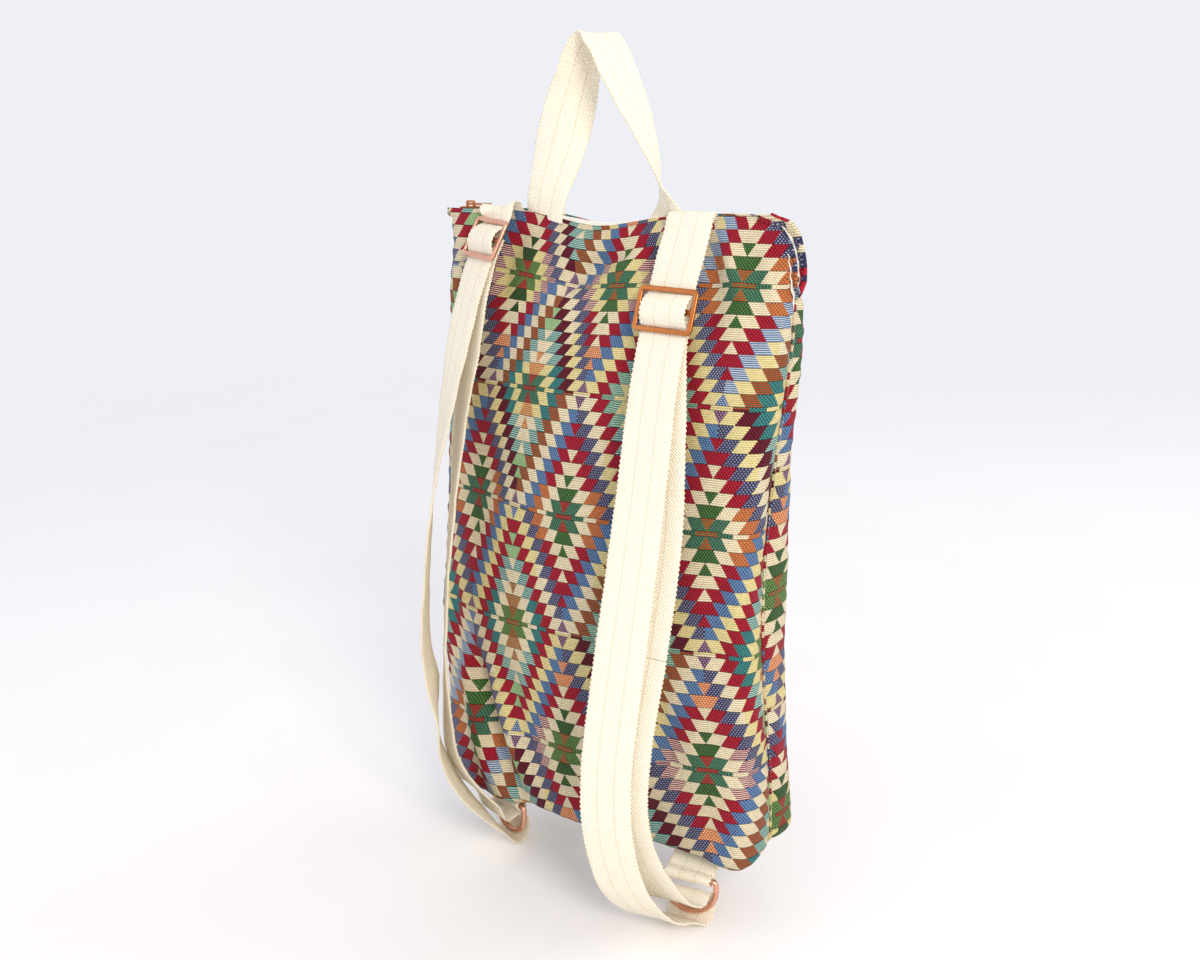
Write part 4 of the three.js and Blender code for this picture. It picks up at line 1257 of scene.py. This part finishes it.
def strap_routes(side, top, outer, inner, split):
    """The outer band with its loop, the return band and the hump, for one strap."""
    weave = GLIDE_THICKNESS / 2 + WEBBING_THICKNESS / 2 + STRAP_CLEARANCE
    bar = (GLIDE_HEIGHT - GLIDE_BAR) / 2
    bow = RING_STRAIGHT + RING_HALF_WIDTH + RING_WIRE
    under = bow + WEBBING_THICKNESS / 2 + STRAP_CLEARANCE - 0.2
    inside = RING_STRAIGHT + (2.6 if side == "right" else 0.2)
    behind = [glide_spot(side, up, -weave) for up in (bar + 3, 5, -5, -bar - 4)]
    loop = [
        ring_spot(side, 3, under + 0.6), ring_spot(side, -4.5, under - 2),
        ring_spot(side, -6, (under + inside) / 2), ring_spot(side, -3.5, inside + 3),
        ring_spot(side, 3, inside), ring_spot(side, 12, inside + 1.5),
    ]
    end = [
        glide_spot(side, -bar - 5, -weave - WEBBING_THICKNESS - 1.2),
        glide_spot(side, 2.5, -weave - WEBBING_THICKNESS - 0.3),
    ]
    long_band = top + behind + outer + loop + inner[:split + 1]
    return_band = inner[split:] + end
    hump = [
        glide_spot(side, bar - 2.4, -weave + 0.9), glide_spot(side, bar - 4.5, 0.2),
        glide_spot(side, 3.2, weave + 0.3), glide_spot(side, -3.2, weave + 0.3),
        glide_spot(side, -bar + 4.5, 0.2), glide_spot(side, -bar + 2.4, -weave + 0.9),
    ]
    return long_band, return_band, hump


print("strap routes stand off the metal by", STRAP_CLEARANCE, "mm")

# %% Straps
for side, top, outer, inner, split in (
    ("left", LEFT_TOP, LEFT_OUTER, LEFT_INNER, 5), ("right", RIGHT_TOP, RIGHT_OUTER, RIGHT_INNER, 4),
):
    long_route, return_route, hump_route = strap_routes(side, top, outer, inner, split)
    long_band, long_length = make_band(f"strap_{side}_long", long_route, seed=7)
    return_band, return_length = make_band(f"strap_{side}_return", return_route, start=long_length, seed=8)
    hump, _ = make_band(f"strap_{side}_hump", hump_route, start=46.0, width=31.5, step=0.5, seed=9)
    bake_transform(long_band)
    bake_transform(return_band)
    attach(hump, f"{side}_glide")
    for piece in (long_band, return_band, hump):
        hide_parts(f"strap_{side}")
    print(side, "strap", round(long_length + return_length), "mm of webbing")

# %% [markdown]
# ## The zip
#
# The zip runs level along the top, dips between the handle's legs and turns down over the
# right corner. The tape is sewn inside the hem, so only a cream edge shows on each side of
# the coil, and round the corner it puckers because its outer edge has to stretch.

# %% Zip line
ZIP_HEIGHT, ZIP_DIP, ZIP_LEFT, ZIP_END_HEIGHT = 398.2, 6.0, -113.0, 362.0
zip_route = [(ZIP_LEFT, 0, ZIP_HEIGHT)]
zip_route += [(x, 0, ZIP_HEIGHT - ZIP_DIP * float(dip_at(x))) for x in (-80, -50, -25, TOP_MIDDLE_X, 37,
        62, 90)]
zip_route += [(112, 0, ZIP_HEIGHT - 0.6), (126, 0, 393), (134.5, 0, 382), (137.4, 0, ZIP_END_HEIGHT + 5)]


def line_along(route):
    """Even 1 mm steps along a route over the bag, their lengths and their outward directions."""
    line, at = even_steps(catmull(route)[0], 1.0)
    run = np.gradient(line, axis=0)
    run /= np.linalg.norm(run, axis=1, keepdims=True)
    return line, at, np.stack([-run[:, 2], np.zeros(len(run)), run[:, 0]], axis=1)


zip_line, zip_at, zip_out = line_along(zip_route)
print("zip line", round(float(zip_at[-1])), "mm")

# The tape runs on past the coil, down into the side seam.
tape_line, tape_at, tape_out = line_along(zip_route + [(137.4, 0, 358), (136.6, 0, 348)])


# %% Zip tape
def make_zip_tape(word, side):
    """One tape: from the coil out to under the hem, with a puckered outer edge."""
    shares = np.linspace(0, 1, 8)
    corner = smooth_between(tape_line[:, 0], 108, 124)
    width = 5.3 * (0.2 + 0.8 * smooth_between(tape_line[:, 2], 351, 364))
    pucker = np.sin(tape_at * 2 * np.pi / 7.5 + side) * (0.12 + 0.3 * corner)
    rows = []
    for share in shares:
        y = side * (0.9 + share * width)
        lift = -0.5 * share ** 2 + pucker * share ** 1.5 + corner * 0.6 * share
        rows.append(tape_line + tape_out * lift[:, None] + np.array([0, 1, 0]) * y[:, None])
    points = np.stack(rows, axis=1)
    u = np.broadcast_to(shares * 6, points.shape[:2])
    v = np.broadcast_to(tape_at[:, None], points.shape[:2])
    made = grid_mesh(f"zip_tape_cloth_{word}", to_frame(points), u, v, zip_tape_cloth)
    body = made.modifiers.new("thickness", "SOLIDIFY")
    body.thickness = 0.5 * MM
    body.offset = 0.0
    return apply_modifiers(made)


for word, side in (("back", -1), ("front", 1)):
    tape = make_zip_tape(word, side)
    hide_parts(f"zip_tape_{word}")
    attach(tape, "bag")
    print(tape.name, len(tape.data.polygons), "faces")

# %% [markdown]
# ### The coil
#
# Each side of the chain is a monofilament wound into flat loops 1.5 mm apart, and the loops of
# the two sides lock into each other. A loop is swept as a small tube over the chain, one side
# shifted by half a pitch.

# %% Coil
COIL_PITCH = 1.5


def make_coil(word, side):
    """One side's coil: a continuous filament that loops over and under along the zip line."""
    start = int(np.searchsorted(zip_at, 12.0))
    length = zip_at[-3] - zip_at[start]
    steps = int(length / COIL_PITCH * 8)
    at = np.linspace(zip_at[start], zip_at[-3], steps)
    centre = np.stack([np.interp(at, zip_at, zip_line[:, k]) for k in range(3)], axis=1)
    out = np.stack([np.interp(at, zip_at, zip_out[:, k]) for k in range(3)], axis=1)
    phase = (at - at[0]) / COIL_PITCH * 2 * np.pi + (math.pi if side > 0 else 0)
    y = side * (1.1 - 1.35 * np.cos(phase))
    path = centre + np.array([0, 1, 0]) * y[:, None] + out * (0.62 * np.sin(phase))[:, None]
    return make_tube(f"zip_coil_{word}", to_frame(path), 0.36 * MM, zip_nylon, sides=6)


for word, side in (("back", -1), ("front", 1)):
    coil = make_coil(word, side)
    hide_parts(f"zip_teeth_{word}")
    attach(coil, "bag")
    print(coil.name, len(coil.data.polygons), "faces")

# %% [markdown]
# ### Slider, pull and stops
#
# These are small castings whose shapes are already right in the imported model. They keep it,
# with a fine bevel that rounds their edges as tumbling does, and get the copper plating.

# %% Small castings
for node, width in (
    ("zip_slider", 0.22), ("zip_pull", 0.25), ("zip_top_stop_back", 0.25),
    ("zip_top_stop_front", 0.25), ("zip_bottom_stop", 0.3),
):
    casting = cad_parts[node]
    casting.data.materials.clear()
    casting.data.materials.append(copper)
    rounding = casting.modifiers.new("rounding", "BEVEL")
    rounding.width = width * MM
    rounding.segments = 2
    rounding.limit_method = "ANGLE"
    rounding.angle_limit = math.radians(40)
    print(node, "rounded by", width, "mm")

# %% [markdown]
# ## The room
#
# A pale, plain floor under soft light. The strap loops just touch it. The floor fades out
# with distance into the pale world around it, so that no edge shows from any side. A broad
# light stands behind the camera's right shoulder, and a weaker one fills from the left.

# %% Floor
def make_floor_material(name):
    """Matt off-white that grows clear away from the middle, so that the floor has no edge."""
    made, tree, surface = new_material(name)
    place = put(tree, "TexCoord", out=3)
    distance = put(tree, "VectorMath", [place], out=1, operation="LENGTH")
    clear = put(tree, "MapRange", {"Value": distance, "From Min": 0.75, "From Max": 2.2},
                interpolation_type="SMOOTHSTEP")
    speckle = put(tree, "TexNoise", {"Vector": place, "Scale": 6.0})
    colour = put(tree, "MixRGB", [speckle, linear("EFEDEC"), linear("F4F2F2")])
    matt = put(tree, "BsdfPrincipled", {"Base Color": colour, "Roughness": 0.9, "Specular IOR Level": 0.1})
    glass = put(tree, "BsdfTransparent", [(1, 1, 1, 1)])
    tree.links.new(put(tree, "MixShader", [clear, matt, glass]), surface)
    return made


bpy.context.view_layer.update()
floor_height = min(cad_low.z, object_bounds()[0].z) - 0.0006
bpy.ops.mesh.primitive_circle_add(vertices=96, radius=2.4, fill_type="NGON", location=(0, 0, floor_height))
floor = bpy.context.object
floor.name = "floor"
floor.data.materials.append(make_floor_material("matt_white_floor"))
print("floor at", round(floor_height, 4), "m")

# %% Lights
def add_light(name, place, aim, size, watts, colour):
    """A square soft light at place, facing aim."""
    data = bpy.data.lights.new(name, "AREA")
    data.size = size
    data.energy = watts
    data.color = linear(colour)[:3]
    made = bpy.data.objects.new(name, data)
    made.location = place
    made.rotation_mode = "QUATERNION"
    made.rotation_quaternion = (Vector(aim) - Vector(place)).to_track_quat("-Z", "Y")
    bpy.context.scene.collection.objects.link(made)


BAG_MIDDLE = (0.0, 0.0, -0.3)
add_light("key", (1.5, -1.1, 0.7), BAG_MIDDLE, 0.7, 26.0, "FFF6EA")
add_light("fill", (-1.4, -1.3, 0.5), BAG_MIDDLE, 1.2, 3.0, "EEF2FF")
add_light("rim", (0.9, 1.6, 0.9), BAG_MIDDLE, 1.2, 6.0, "FFFFFF")

world = bpy.data.worlds.new("studio")
world.use_nodes = True
world.node_tree.nodes.clear()
sky = put(world.node_tree, "Background", [linear("F3F4FA"), 0.96])
world.node_tree.links.new(sky, world.node_tree.nodes.new("ShaderNodeOutputWorld").inputs["Surface"])
bpy.context.scene.world = world
bpy.context.scene.view_settings.view_transform = "Standard"
print("three soft lights and a pale world")
